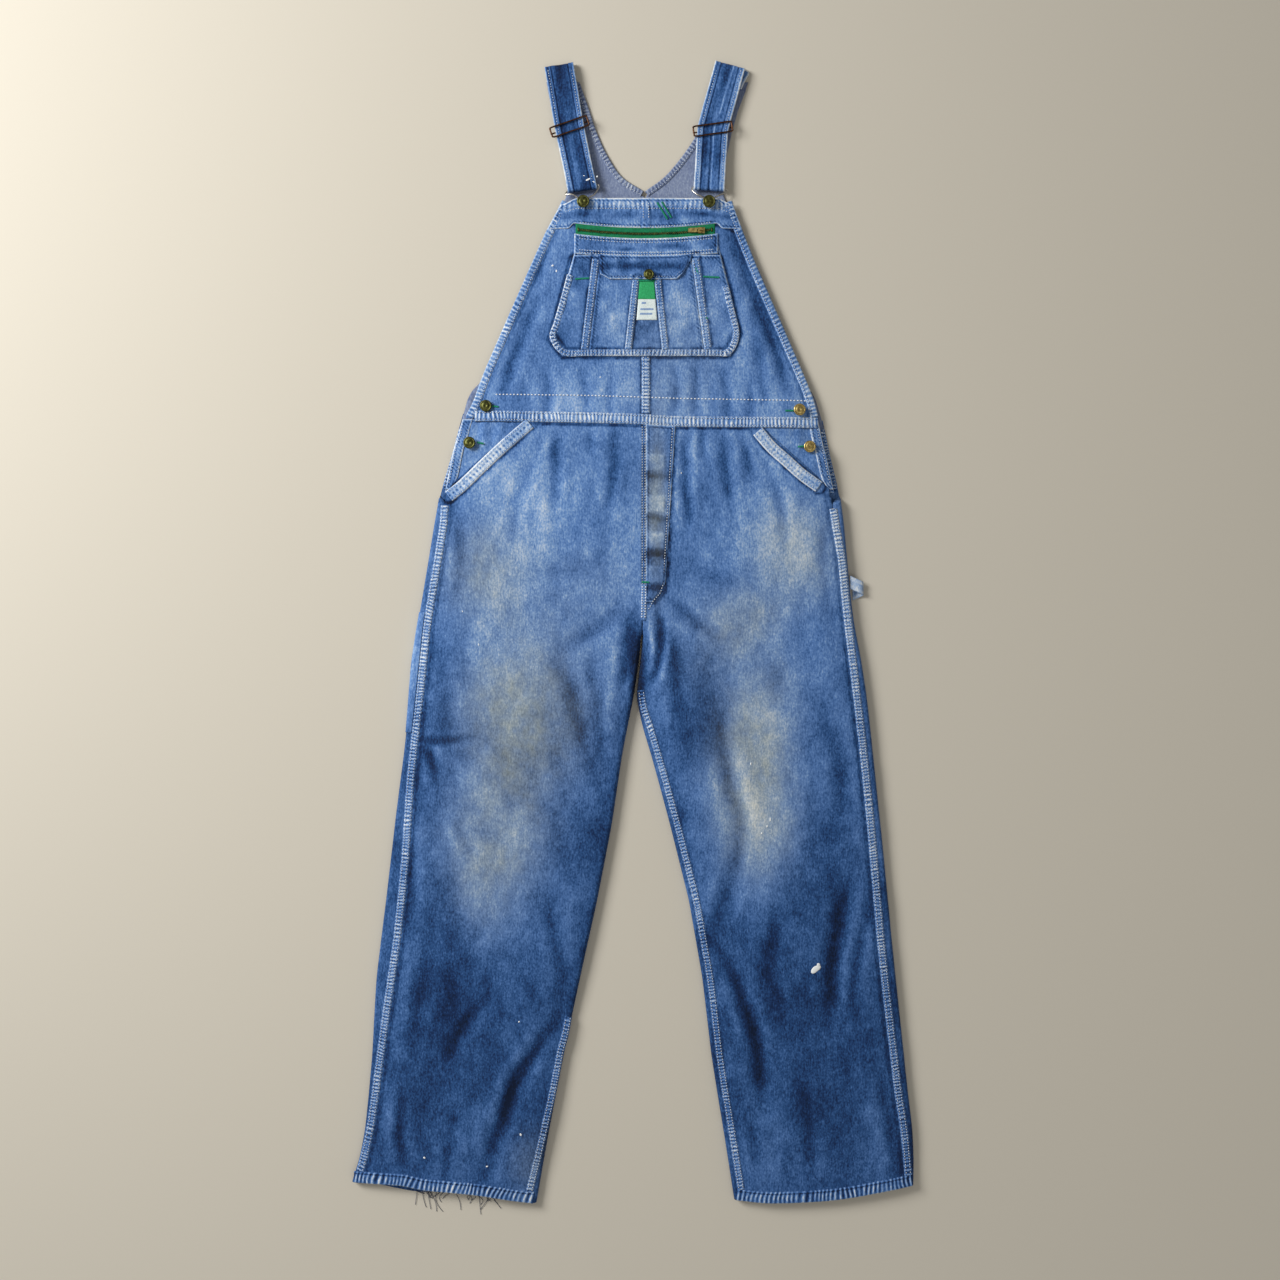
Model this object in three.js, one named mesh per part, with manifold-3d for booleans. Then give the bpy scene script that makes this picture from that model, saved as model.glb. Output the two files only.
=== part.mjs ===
// Denim bib dungarees, laid flat on their back with the front up.
// Millimetres. +X is the wearer's left, +Y runs from the hems up to the strap folds and +Z is up
// from the surface that they lie on. The origin is under the middle of the laid-out garment.
// Names end in _r on the wearer's right and in _l on the wearer's left.
import * as THREE from "three";
import { mergeVertices } from "three/addons/utils/BufferGeometryUtils.js";
import Module from "manifold-3d";

const wasm = await Module();
wasm.setup();

// ---- driving dimensions ----------------------------------------------------------------------
const WALL = 1.2; // one layer of worn denim
const THIN_WALL = 1.0; // a patch sewn on, pressed flat
const GAP = 0.3; // between neighbouring pieces
const FOLD_WIDTH = 4.5; // how far the rolled side of a leg reaches in from its outline
const ROLL_IN = 26; // how far in from an edge the front panel has reached its full height
const SEAM_X = 10; // centre-front and centre-back seam of the legs
const BIB_SEAM_X = 14; // centre seam of the bib
const CROTCH_Y = 12;
const WAIST_Y = 262;
const HEM_LEVEL = -742;
const HEM_BEND = 110; // the rows above the hem that share its slant
const BIB_TOP = 562;
const POCKET_BOTTOM = 357;
const ZIP_Y = 522; // middle of the zip at its ends
const ZIP_SAG = 6; // and how much lower it hangs at its middle
const ZIP_ENDS = [-77, 104];
const STRAP_THICK = 1.6;
const BUTTON_RADIUS = 8.5;
const SIDE_BUTTON_RADIUS = 8;
const FLAP_BUTTON_RADIUS = 7;
const WIRE_RADIUS = 1.1;

// ---- outlines, each a list of [y, x] from the hem up -----------------------------------------
const outline = {
  outer_r: [
    [-742, -368], [-713, -360], [-661, -352], [-557, -342], [-453, -337], [-349, -324],
    [-245, -312], [-141, -298], [-37, -290], [41, -277], [119, -264], [171, -256], [223, -240],
    [275, -226], [303, -218], [314, -212],
  ],
  outer_l: [
    [-742, 362], [-713, 363], [-661, 362], [-609, 356], [-505, 345], [-401, 334], [-297, 324],
    [-193, 313], [-89, 302], [-37, 294], [15, 284], [67, 278], [119, 274], [171, 268], [223, 255],
    [275, 244], [301, 236], [314, 229],
  ],
  inner_r: [
    [-742, -128], [-661, -114], [-557, -94], [-453, -72], [-349, -49], [-245, -29], [-167, -18],
    [-115, -8], [-60, 3.5], [0, 8.5], [12, 9.2],
  ],
  inner_l: [
    [-742, 129], [-661, 117], [-557, 100], [-453, 88], [-349, 70], [-245, 44], [-167, 23],
    [-115, 7], [-94, 0], [-60, 5.5], [0, 10.5], [12, 10.8],
  ],
  outseam_r: [
    [-742, -361], [-673, -346], [-586, -335], [-478, -320], [-392, -307], [-280, -296],
    [-203, -292], [-128, -284], [-58, -276], [11, -269], [58, -261], [150, -246], [181, -246],
  ],
  outseam_l: [
    [-742, 356], [-660, 351], [-601, 342], [-509, 331], [-415, 320], [-333, 313], [-263, 307],
    [-171, 298], [-77, 287], [31, 274], [98, 268], [150, 258], [181, 254],
  ],
  front_r: [
    [181, -246], [192, -244], [250, -232], [278, -220], [301, -208], [327, -200], [405, -166],
    [509, -120], [562, -96],
  ],
  front_l: [
    [181, 258], [212, 251], [266, 239], [280, 238], [301, 232], [327, 222], [405, 188],
    [509, 143], [562, 127],
  ],
  mouth_r: [[181, -246], [202, -226], [262, -154]],
  mouth_l: [[181, 252], [193, 244], [232, 201], [262, 166]],
  back_r: [
    [262, -229], [303, -218], [314, -212], [330, -196], [400, -162], [450, -140], [500, -119],
    [545, -100], [560, -96], [600, -93], [650, -102], [712, -115],
  ],
  back_l: [
    [262, 247], [301, 236], [314, 229], [330, 216], [400, 182], [450, 160], [500, 141],
    [545, 127], [560, 123], [600, 118], [620, 120], [650, 126], [676, 133], [712, 147],
  ],
  vee_r: [[566, 11], [587, -15], [613, -33], [650, -50], [699, -66], [712, -71]],
  vee_l: [[566, 12], [587, 36], [613, 57], [635, 76], [670, 90.5], [712, 101]],
  strap_r: [[571, -67.5], [655, -85], [737, -99]],
  strap_l: [[569, 96], [652, 101], [737, 124]],
};
const hem = {
  r: [[-368, -715], [-305, -718], [-206, -731], [-128, -742]],
  l: [[129, -738], [183, -741], [256, -737], [311, -728], [362, -719]],
};

// Heights of the front's outer face above the surface, as [y, height].
const middleHeight = [
  [-742, 12], [-600, 14], [-300, 16], [60, 16], [262, 16], [300, 12.5], [345, 9.5], [562, 9.5],
];
const edgeHeight = [[-742, 8], [0, 9], [181, 9], [262, 7], [345, 6], [562, 6]];

// The share of the rolled inner side that the back panel covers, and how far it runs on along
// the top to the inseam, as [y, share] and [y, run].
const innerRoll = {
  r: [[-742, 1], [-600, 1], [-540, 0.6], [-480, 0.5], [0, 0.5]],
  l: [[-742, 1], [-85, 1], [-40, 0.75], [0, 0.5]],
};
const innerRun = {
  r: [[-742, 8], [-672, 2.5], [-600, 0.5], [0, 0.5]],
  l: [[-742, 6], [-120, 5], [-85, 0.5], [0, 0.5]],
};

// The largest folds: the line that each follows as [x, y], its half width, and its depth (a ridge
// is negative).
const folds = [
  { line: [[-105, -515], [-142, -560], [-168, -618], [-194, -690]], reach: 30, depth: 4 },
  { line: [[-215, -470], [-250, -560], [-262, -640]], reach: 34, depth: 2.5 },
  { line: [[-290, -138], [-212, -146]], reach: 26, depth: 2.5 },
  { line: [[-99, -42], [-72, -140], [-60, -230]], reach: 30, depth: 2.5 },
  { line: [[108, -96], [118, -182], [136, -252], [122, -333], [104, -400]], reach: 32, depth: 4.5 },
  { line: [[118, -427], [146, -497], [160, -567], [166, -630]], reach: 30, depth: 3 },
  { line: [[273, -323], [257, -415], [250, -520]], reach: 30, depth: 3.5 },
  { line: [[180, 40], [150, -20], [110, -70]], reach: 34, depth: 2.5 },
  { line: [[-150, 30], [-110, -20], [-60, -60]], reach: 34, depth: 2 },
];

// ---- helpers ---------------------------------------------------------------------------------
const clamp01 = (t) => Math.min(1, Math.max(0, t));
const smooth = (t) => clamp01(t) ** 2 * (3 - 2 * clamp01(t));
const mix = (a, b, t) => a + (b - a) * t;

// The value at y of a list of [y, value], on straight lines between its points.
function at(list, y) {
  const last = list.length - 1;
  const found = list.findIndex(([level]) => y <= level);
  const i = found < 0 ? last : Math.max(1, found);
  const [y0, a] = list[i - 1];
  const [y1, b] = list[i];
  return mix(a, b, clamp01((y - y0) / (y1 - y0)));
}

// How far [x, y] is from a line through points.
function distanceTo(points, x, y) {
  let least = Infinity;
  for (let i = 1; i < points.length; i++) {
    const [ax, ay] = points[i - 1];
    const [bx, by] = points[i];
    const span = (bx - ax) ** 2 + (by - ay) ** 2;
    const t = clamp01(((x - ax) * (bx - ax) + (y - ay) * (by - ay)) / span);
    least = Math.min(least, Math.hypot(x - mix(ax, bx, t), y - mix(ay, by, t)));
  }
  return least;
}

// Height of the front's outer face at [x, y]: full in the middle, lower at the rolled sides, the
// bib's free edges and, below the crotch, the inner sides, with the largest folds pressed in.
function faceHeight(x, y) {
  const above = y > 181;
  const full = at(middleHeight, y);
  const low = at(edgeHeight, y);
  const outer = x < SEAM_X
    ? x - at(above ? outline.front_r : outline.outer_r, y)
    : at(above ? outline.front_l : outline.outer_l, y) - x;
  const inner = x < SEAM_X ? at(outline.inner_r, y) - x : x - at(outline.inner_l, y);
  const legShare = smooth((CROTCH_Y - y) / 80);
  let height = full - (full - low) * (1 - smooth(outer / ROLL_IN));
  height -= (full - low) * legShare * (1 - smooth(inner / ROLL_IN));
  const calm = smooth(outer / 20) * mix(1, smooth(inner / 20), legShare);
  for (const { line, reach, depth } of folds) {
    const share = clamp01(1 - distanceTo(line, x, y) / reach);
    height -= depth * smooth(share) * calm;
  }
  return height;
}

// A closed solid from its corners and triangles, turned so that its faces point out.
function solid(points, triangles) {
  const geometry = new THREE.BufferGeometry();
  geometry.setAttribute("position", new THREE.Float32BufferAttribute(points.flat(), 3));
  let volume = 0;
  for (const [a, b, c] of triangles) {
    const [p, q, r] = [a, b, c].map((i) => new THREE.Vector3(...points[i]));
    volume += p.dot(q.cross(r)) / 6;
  }
  const turned = volume < 0 ? triangles.map(([a, b, c]) => [a, c, b]) : triangles;
  geometry.setIndex(turned.flat());
  geometry.computeVertexNormals();
  return geometry;
}

// A layer of cloth between two grids of points, each a list of rows.
function layer(outerRows, innerRows) {
  const rows = outerRows.length;
  const columns = outerRows[0].length;
  const points = [...outerRows.flat(), ...innerRows.flat()];
  const outer = (i, j) => i * columns + j;
  const inner = (i, j) => rows * columns + i * columns + j;
  const triangles = [];
  const quad = (a, b, c, d) => triangles.push([a, b, c], [a, c, d]);
  for (let i = 0; i < rows - 1; i++) {
    for (let j = 0; j < columns - 1; j++) {
      quad(outer(i, j), outer(i, j + 1), outer(i + 1, j + 1), outer(i + 1, j));
      const back = [inner(i, j), inner(i, j + 1), inner(i + 1, j + 1), inner(i + 1, j)];
      triangles.push([back[0], back[2], back[1]], [back[0], back[3], back[2]]);
    }
    quad(outer(i, 0), outer(i + 1, 0), inner(i + 1, 0), inner(i, 0));
    const j = columns - 1;
    quad(outer(i + 1, j), outer(i, j), inner(i, j), inner(i + 1, j));
  }
  for (let j = 0; j < columns - 1; j++) {
    quad(outer(0, j + 1), outer(0, j), inner(0, j), inner(0, j + 1));
    const i = rows - 1;
    quad(outer(i, j), outer(i, j + 1), inner(i, j + 1), inner(i, j));
  }
  return solid(points, triangles);
}

// A patch lying on the front: rows of [x, y], lifted clear of what is under it.
function patch(rows, lift, thickness = THIN_WALL) {
  const raised = (by) => rows.map((row) => row.map(([x, y]) => [x, y, faceHeight(x, y) + by]));
  return layer(raised(lift + thickness), raised(lift));
}

// Evenly spaced numbers from a to b.
const steps = (a, b, count) => Array.from({ length: count + 1 }, (_, i) => mix(a, b, i / count));

// Rows between two edges that are functions of y.
const between = (levels, left, right, columns) =>
  levels.map((y) => steps(left(y), right(y), columns).map((x) => [x, y]));

const cloth = (color) =>
  new THREE.MeshStandardMaterial({ color, roughness: 0.92, metalness: 0, side: THREE.DoubleSide });
const denim = cloth(0x5a82be);
const paleDenim = cloth(0x9db8e0);
const innerDenim = cloth(0x77839f);
const greenTape = cloth(0x008250);
const labelCloth = cloth(0x3cb46e);
const brass = new THREE.MeshStandardMaterial({ color: 0x8a8a3c, roughness: 0.4, metalness: 1 });
const bronzeWire = new THREE.MeshStandardMaterial({ color: 0x4a3428, roughness: 0.45, metalness: 1 });
const brightWire = new THREE.MeshStandardMaterial({ color: 0xc9c6bd, roughness: 0.3, metalness: 1 });

const dungarees = new THREE.Group();
function add(name, geometry, material, parent = dungarees) {
  const mesh = new THREE.Mesh(geometry, material);
  mesh.name = name;
  parent.add(mesh);
  return mesh;
}

// ---- legs ------------------------------------------------------------------------------------
const legLevels = [
  HEM_LEVEL, -700, -650, -600, -550, -500, -450, -400, -350, -300, -250, -200, -160, -125, -85,
  -40, 0, 6, CROTCH_Y, 50, 95, 140, 176, 190, 202, 222, 242, WAIST_Y,
];
const CROTCH_SHARES = new Map([[6, 0.2], [CROTCH_Y, 0]]); // of the rolled side, where the crotch opens

// The hem's slant is shared by the rows just above it.
function slanted(side, x, level) {
  const share = clamp01((HEM_LEVEL + HEM_BEND - level) / HEM_BEND);
  return level + (at(hem[side], x) - HEM_LEVEL) * share;
}

// The rolled side of a leg: points [x, z] from the panel's free end, over the roll, to where it
// meets the surface below. turn is +1 where the leg lies to the right of this side.
function rolledSide({ edge, turn, level, share, run }, inset, count) {
  const rolled = Math.max(share, 0.06);
  const centre = edge + turn * FOLD_WIDTH * Math.min(1, 2 * share);
  const height = faceHeight(centre, level);
  const [across, up] = [FOLD_WIDTH - inset, height / 2 - inset];
  const arc = (rolled * Math.PI * (FOLD_WIDTH + height / 2)) / 2;
  const end = rolled < 1 ? 0 : run;
  return steps(arc + end, 0, count).map((s) => {
    if (s > arc) {
      const x = centre + turn * (s - arc);
      return [x, faceHeight(x, level) - inset];
    }
    const angle = Math.PI * (rolled * (s / arc) - 0.5);
    return [centre - turn * across * Math.cos(angle), height / 2 + up * Math.sin(angle)];
  });
}

function sidesAt(side, level) {
  const turn = side === "r" ? 1 : -1;
  const edge = at(outline["outer_" + side], level);
  const seam = at(outline["outseam_" + side], level);
  const open = level > 176;
  const outer = {
    edge, turn, level, share: open ? 0 : 1,
    run: Math.abs(seam - edge) - FOLD_WIDTH - GAP / 2,
  };
  const above = level >= CROTCH_Y;
  const share = CROTCH_SHARES.get(level) ?? (above ? 0 : at(innerRoll[side], level));
  const inner = {
    edge: above ? SEAM_X - turn : at(outline["inner_" + side], level),
    turn: -turn, level, share,
    run: at(innerRun[side], level),
  };
  return { outer, inner, above, seam };
}

function backLeg(side) {
  const ring = (inset) => legLevels.map((level) => {
    const { outer, inner } = sidesAt(side, level);
    const first = rolledSide(outer, inset, 6);
    const last = rolledSide(inner, inset, 6).reverse();
    const floor = steps(first.at(-1)[0], last[0][0], 4).slice(1, -1).map((x) => [x, inset]);
    return [...first, ...floor, ...last].map(([x, z]) => [x, slanted(side, x, level), z]);
  });
  return layer(ring(0), ring(WALL));
}

const frontSpacing = [0, 0.05, 0.11, 0.19, 0.29, 0.4, 0.51, 0.62, 0.73, 0.83, 0.91, 0.96, 0.985, 1];
function frontLeg(side) {
  const turn = side === "r" ? 1 : -1;
  const sheet = (inset) => legLevels.map((level) => {
    const { inner, above, seam } = sidesAt(side, level);
    const start = level > 180 ? at(outline["mouth_" + side], level) : seam + (turn * GAP) / 2;
    const rolled = above ? 0 : 1 - inner.share;
    const share = CROTCH_SHARES.get(level) ?? rolled;
    const centre = inner.edge - turn * FOLD_WIDTH * Math.min(1, 2 * inner.share);
    const height = faceHeight(centre, level);
    let end = SEAM_X - (turn * GAP) / 2;
    if (!above) end = share > 0.01 ? centre : centre - turn * (inner.run + GAP);
    const flat = Math.abs(end - start);
    const gapShare = GAP / (Math.PI * (height / 2));
    const arc = share > 0.01 ? ((share - gapShare) * Math.PI * (FOLD_WIDTH + height / 2)) / 2 : 0;
    return frontSpacing.map((q) => {
      const s = q * (flat + arc);
      let [x, z] = [start + turn * s, 0];
      if (s <= flat) {
        z = faceHeight(x, level) - inset;
      } else {
        const angle = Math.PI * (0.5 - (share - gapShare) * ((s - flat) / arc));
        x = centre + turn * (FOLD_WIDTH - inset) * Math.cos(angle);
        z = height / 2 + (height / 2 - inset) * Math.sin(angle);
      }
      return [x, slanted(side, x, level), z];
    });
  });
  return layer(sheet(0), sheet(WALL));
}

for (const side of ["r", "l"]) {
  add("back_leg_" + side, backLeg(side), denim);
  add("front_leg_" + side, frontLeg(side), denim);
}

// ---- back bib and the two arms of its vee, flat on the surface ----------------------------------
function backBib(side) {
  const levels = [WAIST_Y + GAP, 303, 314, 330, 365, 400, 450, 500, 535, 566, 587, 613, 635, 650, 680, 712];
  const middle = (y) => y > 566 ? at(outline["vee_" + side], y) : BIB_SEAM_X - (side === "r" ? 3.15 : 1.85);
  const rows = between(levels, (y) => at(outline["back_" + side], y), middle, 4);
  const height = (z) => rows.map((row) => row.map(([x, y]) => [x, y, z]));
  return layer(height(WALL), height(0));
}
add("back_bib_r", backBib("r"), innerDenim);
add("back_bib_l", backBib("l"), innerDenim);

// ---- bib -------------------------------------------------------------------------------------
const bibTop = (x) => BIB_TOP - 8 * smooth((Math.abs(x - 16) - 90) / 22);
const bibSpacing = [0, 0.04, 0.08, 0.13, 0.19, 0.28, 0.4, 0.55, 0.7, 0.85, 1];
function bibRows(side, levels) {
  const turn = side === "r" ? 1 : -1;
  return levels.map((level) => {
    const edge = at(outline["front_" + side], level);
    const middle = BIB_SEAM_X - (turn * GAP) / 2;
    return bibSpacing.map((q) => {
      const x = mix(edge, middle, q);
      const share = clamp01((level - 520) / (BIB_TOP - 520));
      return [x, level + (bibTop(x) - BIB_TOP) * share];
    });
  });
}
const bibLevels = [WAIST_Y + GAP, 280, 300, 322, 345, 380, 430, 480, 520, 541, BIB_TOP];
add("bib_r", patch(bibRows("r", bibLevels), -WALL, WALL), denim);
add("bib_l", patch(bibRows("l", bibLevels), -WALL, WALL), denim);

// Band along the bib's top: it lies on the bib, and its lower edge follows the zip's sag.
const zipMiddle = (x) => ZIP_Y - ZIP_SAG * (1 - ((x - 13.5) / 90.5) ** 2);
const BAND_WING = 12; // beyond the zip's ends the band's lower edge drops
const bandFoot = (x) => {
  const beyond = Math.max(ZIP_ENDS[0] - x, x - ZIP_ENDS[1]);
  return beyond > BAND_WING ? ZIP_Y + 1 : zipMiddle(x) + 8;
};
const bandRows = steps(0, 1, 3).map((t) => {
  const right = bibRows("r", [mix(532, BIB_TOP - 1, t)])[0];
  const left = bibRows("l", [mix(532, BIB_TOP - 1, t)])[0];
  const all = [...right.slice(0, -1), ...left.toReversed()];
  return all.map(([x, y]) => [x, mix(bandFoot(x), y, t)]);
});
add("bib_band", patch(bandRows, 0.5, WALL), paleDenim);

// ---- bib pocket --------------------------------------------------------------------------------
const LEVEL_1 = 0.3; // lifts of the layers above the bib
const LEVEL_2 = 1.6;
const LEVEL_3 = 2.9;
const pocketSide_r = [[357, -94], [378, -111], [435, -95], [490, -79], [513, -78]];
const pocketSide_l = [[357, 124], [386, 136], [448, 122], [494, 110], [513, 104]];
const bandTop = (x) => zipMiddle(x) - 8;
const pocketRows = between(
  [POCKET_BOTTOM, 368, 382, 410, 450, 490, 512],
  (y) => at(pocketSide_r, y), (y) => at(pocketSide_l, y), 6,
).map((row, i) => row.map(([x, y]) => [x, i === 6 ? bandTop(x) - 1 : y]));
add("bib_pocket", patch(pocketRows, LEVEL_1), denim);

// The four compartment panels, with the label's strip of pocket showing between the middle two.
const seams = {
  s1: [[357, -61], [486, -45]],
  s2: [[357, -5], [486, 9]],
  s3: [[357, 36], [486, 22]],
  s4: [[357, 91], [486, 73]],
};
const panelLevels = [POCKET_BOTTOM + 1, 368, 382, 420, 455, 488];
const inside = (list, by) => (y) => at(list, y) + by;
const panels = {
  compartment_outer_r: [inside(pocketSide_r, 2), inside(seams.s1, -GAP / 2)],
  compartment_inner_r: [inside(seams.s1, GAP / 2), inside(seams.s2, 0)],
  compartment_inner_l: [inside(seams.s3, 0), inside(seams.s4, -GAP / 2)],
  compartment_outer_l: [inside(seams.s4, GAP / 2), inside(pocketSide_l, -2)],
};
for (const [name, [left, right]] of Object.entries(panels)) {
  add(name, patch(between(panelLevels, left, right, 3), LEVEL_2), denim);
}

const bandLow = (x) => 490 - 4 * (1 - ((x - 13.5) / 90.5) ** 2);
const zipBand = steps(0, 1, 2).map((t) =>
  steps(ZIP_ENDS[0] - 2, ZIP_ENDS[1] + 4, 10).map((x) => [x, mix(bandLow(x) + 3, bandTop(x) - GAP, t)]));
add("pocket_band", patch(zipBand, LEVEL_2, WALL), paleDenim);

const tapeRows = steps(-7.5, 7.5, 2).map((dy) =>
  steps(...ZIP_ENDS, 10).map((x) => [x, zipMiddle(x) + dy]));
add("zip_tape", patch(tapeRows, LEVEL_1, 0.8), greenTape);

// Flap over the two middle panels, its lower corners cut off.
const flapSide_r = [[456, -33], [463, -44], [486, -45]];
const flapSide_l = [[456, 54], [464, 62], [486, 73]];
const flapRows = between([456, 464, 475, 486], (y) => at(flapSide_r, y), (y) => at(flapSide_l, y), 6);
add("pocket_flap", patch(flapRows, LEVEL_3, WALL), denim);

// Woven label on the strip between the middle panels.
const labelRows = between([404, 432, 454], (y) => mix(1, 5, (y - 404) / 50) + 1.5,
  (y) => mix(30, 26, (y - 404) / 50) - 1.5, 2);
add("label", patch(labelRows, LEVEL_2, 0.6), labelCloth);

// ---- fly, hip pockets and side plackets ----------------------------------------------------------
const flyRows = between([40, 64, 130, 200, WAIST_Y - 1],
  () => SEAM_X + 4, (y) => mix(42, 49, (y - 76) / 192) - 12 * (1 - smooth((y - 34) / 30)), 2);
add("fly", patch(flyRows, LEVEL_1, WALL), denim);

const PLACKET_WIDTH = 13;
const hipLevels = [184, 190, 202, 222, 242, WAIST_Y - 1];
const FACING_DROP = -(WALL + THIN_WALL + 1.4);
for (const [side, turn] of [["r", 1], ["l", -1]]) {
  const facing = hipLevels.map((y) => {
    const edge = at(outline["front_" + side], y);
    const mouth = at(outline["mouth_" + side], y);
    const width = Math.min(PLACKET_WIDTH, Math.abs(mouth - edge) - 0.8);
    return [0, width / 2, width].map((d) => [edge + turn * d, y])
      .concat(steps(edge + turn * (width + 2), mouth + turn * 16, 3).map((x) => [x, y]));
  });
  add("pocket_facing_" + side, patch(facing, FACING_DROP), paleDenim);
  const placket = facing.map((row) => row.slice(0, 3));
  add("side_placket_" + side, patch(placket, FACING_DROP + THIN_WALL + GAP, THIN_WALL), paleDenim);
}
const welts = {
  r: {
    upper: [[-243, 184], [-226, 202], [-188, 234], [-155, 261]],
    lower: [[-231, 174], [-208, 192], [-168, 226], [-134, 261]],
  },
  l: {
    upper: [[247, 190], [232, 204], [201, 232], [167, 261]],
    lower: [[235, 179], [219, 191], [190, 210], [152, 259]],
  },
};
function along(points, t) {
  const i = Math.min(points.length - 2, Math.floor(t * (points.length - 1)));
  const share = t * (points.length - 1) - i;
  return [0, 1].map((k) => mix(points[i][k], points[i + 1][k], share));
}
for (const [side, { upper, lower }] of Object.entries(welts)) {
  const rows = steps(0, 1, 9).map((t) => {
    const [[ax, ay], [bx, by]] = [along(upper, t), along(lower, t)];
    return steps(0, 1, 2).map((q) => [mix(ax, bx, q), mix(ay, by, q)]);
  });
  add("pocket_welt_" + side, patch(rows, 1.3), paleDenim);
}

// ---- straps ------------------------------------------------------------------------------------
const STRAP_TOP = 743; // outside of the fold over the shoulder
const FOLD_RADIUS = 3.6;
const strapWidth = { r: 38, l: 40 };
const bibButtons = { r: [-67, 561], l: [96, 561] };
const BAR_Y = 576; // bar of the bib loop, inside the strap's lower turn
const BAR_Z = 8;
const TURN_RADIUS = 2.7;
const HOOK_Z = 12.8; // hook of the bib loop, round the button's shank
const sliderY = { r: 655, l: 652 };

// The strap's middle line as [y, z]: from the arm of the back, round the shoulder fold, down over
// the slider, round the bib loop's bar and back up underneath to the slider.
function strapLine(side) {
  const low = STRAP_THICK / 2;
  const turn = STRAP_TOP - low - FOLD_RADIUS;
  const shoulder = steps(-90, 90, 6).map((deg) => {
    const a = THREE.MathUtils.degToRad(deg);
    return [turn + FOLD_RADIUS * Math.cos(a), low + FOLD_RADIUS * (1 + Math.sin(a))];
  });
  const lower = steps(90, 270, 6).map((deg) => {
    const a = THREE.MathUtils.degToRad(deg);
    return [BAR_Y + TURN_RADIUS * Math.cos(a), BAR_Z + TURN_RADIUS * Math.sin(a)];
  });
  const end = sliderY[side] - 16;
  return [
    [718, low], [727, low], ...shoulder, [715, 8.4], [690, 8.2], [665, 8.2], [640, 8.4],
    [615, 9], [592, 10], ...lower, [592, 5], [615, 4.6], [end, 4.6],
  ];
}

// A strap of constant width along a line of [y, z]; its x follows the strap's own slant.
function ribbon(line, middle, width, thickness) {
  const place = ([y, z]) => new THREE.Vector3(at(middle, y), y, z);
  const rows = line.map((point, i) => {
    const here = place(point);
    const before = place(line[Math.max(0, i - 1)]);
    const after = place(line[Math.min(line.length - 1, i + 1)]);
    const slope = (at(middle, here.y + 4) - at(middle, here.y - 4)) / 8;
    const across = new THREE.Vector3(1, -slope, 0).normalize();
    const normal = after.sub(before).normalize().cross(across).normalize();
    const row = (shift) => steps(-width / 2, width / 2, 2).map((d) =>
      here.clone().addScaledVector(across, d).addScaledVector(normal, shift).toArray());
    return [row(thickness / 2), row(-thickness / 2)];
  });
  return layer(rows.map(([a]) => a), rows.map(([, b]) => b));
}

// A wire along a closed line of points, six-sided.
function closedWire(points, radius, count) {
  const curve = new THREE.CatmullRomCurve3(points, true, "centripetal");
  const sides = 6;
  const frames = curve.computeFrenetFrames(count, true);
  const corners = [];
  const triangles = [];
  for (let i = 0; i < count; i++) {
    const middle = curve.getPointAt(i / count);
    for (let k = 0; k < sides; k++) {
      const a = (2 * Math.PI * k) / sides;
      corners.push(middle.clone().addScaledVector(frames.normals[i], radius * Math.cos(a))
        .addScaledVector(frames.binormals[i], radius * Math.sin(a)).toArray());
      const [n, m] = [((i + 1) % count) * sides, (k + 1) % sides];
      triangles.push([i * sides + k, n + k, n + m], [i * sides + k, n + m, i * sides + m]);
    }
  }
  return solid(corners, triangles);
}

const asManifold = (geometry) => {
  const bare = geometry.clone();
  for (const name of Object.keys(bare.attributes)) if (name !== "position") bare.deleteAttribute(name);
  const merged = mergeVertices(bare, 1e-4);
  return new wasm.Manifold(new wasm.Mesh({
    numProp: 3,
    vertProperties: merged.attributes.position.array,
    triVerts: new Uint32Array(merged.index.array),
  }));
};
function joined(...geometries) {
  const mesh = geometries.map(asManifold).reduce((a, b) => a.add(b)).getMesh();
  const geometry = new THREE.BufferGeometry();
  geometry.setAttribute("position", new THREE.BufferAttribute(mesh.vertProperties, 3));
  geometry.setIndex(new THREE.BufferAttribute(mesh.triVerts, 1));
  geometry.computeVertexNormals();
  return geometry;
}

// Strap slider: a rectangle of wire over the strap, with a bar under it joined at both ends.
const SLIDER = { length: 52, height: 15, z: 10.9, bar: 5.9 };
function sliderWire() {
  const [x, y] = [SLIDER.length / 2 - WIRE_RADIUS, SLIDER.height / 2 - WIRE_RADIUS];
  const c = 2;
  const loop = [
    [-x, -y + c], [-x, y - c], [-x + c, y], [0, y], [x - c, y], [x, y - c], [x, -y + c],
    [x - c, -y], [0, -y], [-x + c, -y],
  ].map(([a, b]) => new THREE.Vector3(a, b, 0));
  const drop = SLIDER.bar - SLIDER.z;
  const bar = new THREE.BoxGeometry(2 * x + 1.6, 1.8, 1.8).translate(0, 0, drop);
  const post = (s) => new THREE.BoxGeometry(1.6, 1.8, -drop + 0.8).translate(s * x, 0, drop / 2);
  return joined(closedWire(loop, WIRE_RADIUS, 28), bar, post(1), post(-1));
}

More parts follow.
